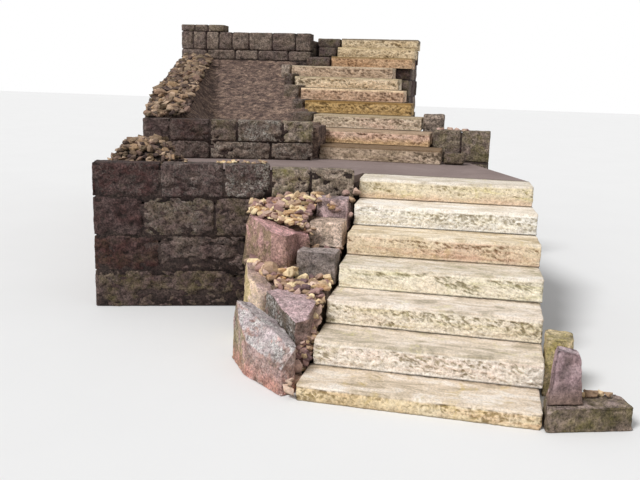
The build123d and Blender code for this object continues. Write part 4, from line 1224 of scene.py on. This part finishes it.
mound_outline = rounded_outline(mound_corners, 90, 0.03)
shares = np.concatenate([(0.5,), np.linspace(1.0, 0.04, 22)])
rings = on_mound(np.tile(mound_outline, (len(shares), 1, 1)), np.tile(shares[:, None], 90))
rings[0, :, 2] = landing_z
rings[1:, :, 2] = np.maximum(landing_z, rings[1:, :, 2] - 0.035)
chance = np.random.default_rng(3041)
drawn = chance.uniform(0.02, 1.0, 620) ** 0.5
mound_spots = on_mound(mound_outline[chance.integers(0, 90, 620)], drawn) - np.array((0, 0, 0.035))
mound_sizes = chance.uniform(0.045, 0.085, 620)
# The mound's body is made dark all over, as painted shade between its stones
mound = [shell(*closed_tube(rings), tone=0.1, hollow=1.0), loose_stones(mound_spots, mound_sizes, 3043)]
put("landing_heap_stones", mound, dull_finish, ["landing_heap"], flat=True)

# A few small stones on top of the lower wall and on the blocks right of the upper flight
crest = zip(chance.normal(1.12, 0.13, 24), chance.uniform(0.11, 0.20, 24))
crest = np.array(plan_at(wall_left, wall_front, wall_turn, crest))
crest_spots = np.column_stack([crest + chance.uniform(-0.015, 0.015, crest.shape),
                               np.full(len(crest), sum(wall_heights) - 0.006)])
side_spots = np.column_stack([chance.uniform(-0.26, 0.07, 20), chance.uniform(3.70, 3.82, 20),
                              np.full(20, landing_z + 0.302)])
scattered = [
    loose_stones(crest_spots, chance.uniform(0.018, 0.046, 24), 3051, 0.0, tones=(0.3, 0.9)),
    loose_stones(side_spots, chance.uniform(0.03, 0.055, 20), 3053, 0.1, tones=(0.0, 0.6)),
]
put("scattered_stones", scattered, pebble_finish, flat=True)

# Floor, light and camera
floor_material = bpy.data.materials.new("pale_floor")
floor_material.use_nodes = True
tree = floor_material.node_tree
base = tree.nodes["Principled BSDF"]
where = add(tree, "ShaderNodeTexCoord").outputs["Object"]
pale = ramp(tree, noise(tree, where, 0.8, 3), [(0.80, 0.80, 0.80, 1), (0.84, 0.84, 0.84, 1)])
tree.links.new(pale, base.inputs["Base Color"])
base.inputs["Roughness"].default_value = 0.95
floor_mesh = bpy.data.meshes.new("floor")
floor_mesh.from_pydata([(-60, -60, 0), (60, -60, 0), (60, 60, 0), (-60, 60, 0)], [], [(0, 1, 2, 3)])
floor_mesh.materials.append(floor_material)
floor = bpy.data.objects.new("floor", floor_mesh)
bpy.context.scene.collection.objects.link(floor)
floor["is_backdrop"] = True

world = bpy.data.worlds.new("studio")
bpy.context.scene.world = world
world.use_nodes = True
tree = world.node_tree
tree.nodes.clear()
paths = add(tree, "ShaderNodeLightPath")
seen = maths(tree, "MAXIMUM", paths.outputs["Is Camera Ray"],
             maths(tree, "MAXIMUM", paths.outputs["Is Glossy Ray"], paths.outputs["Is Transmission Ray"]))
soft = add(tree, "ShaderNodeBackground", {"Color": (1.0, 1.0, 1.0, 1), "Strength": 0.48})
white = add(tree, "ShaderNodeBackground", {"Color": (1.0, 1.0, 1.0, 1), "Strength": 1.0})
both = add(tree, "ShaderNodeMixShader", {0: seen, 1: soft.outputs[0], 2: white.outputs[0]})
tree.links.new(both.outputs[0], add(tree, "ShaderNodeOutputWorld").inputs["Surface"])

sun_light = bpy.data.lights.new("soft_sun", "SUN")
sun_light.energy = 2.5
sun_light.angle = math.radians(18)
sun = bpy.data.objects.new("soft_sun", sun_light)
bpy.context.scene.collection.objects.link(sun)
sun.rotation_euler = (math.radians(44), 0.0, math.radians(-34))

camera_place, focal_pixels, photo_width = (0.292, -4.063, 1.800), 744.6, 640
yaw, pitch, roll = math.radians(12.56), math.radians(12.02), math.radians(-1.76)
forward = np.array((-math.sin(yaw) * math.cos(pitch), math.cos(yaw) * math.cos(pitch), -math.sin(pitch)))
right = np.array((math.cos(yaw), math.sin(yaw), 0.0))
down = np.cross(forward, right)
across = math.cos(roll) * right + math.sin(roll) * down
below = -math.sin(roll) * right + math.cos(roll) * down
lens = bpy.data.cameras.new("camera")
lens.sensor_width = 36
lens.lens = lens.sensor_width * focal_pixels / photo_width
camera = bpy.data.objects.new("camera", lens)
bpy.context.scene.collection.objects.link(camera)
view = Matrix(np.stack([across, -below, -forward], 1).tolist()).to_4x4()
view.translation = camera_place
camera.matrix_world = view
bpy.context.scene.camera = camera
bpy.context.scene.view_settings.view_transform = "Standard"

low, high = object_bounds()
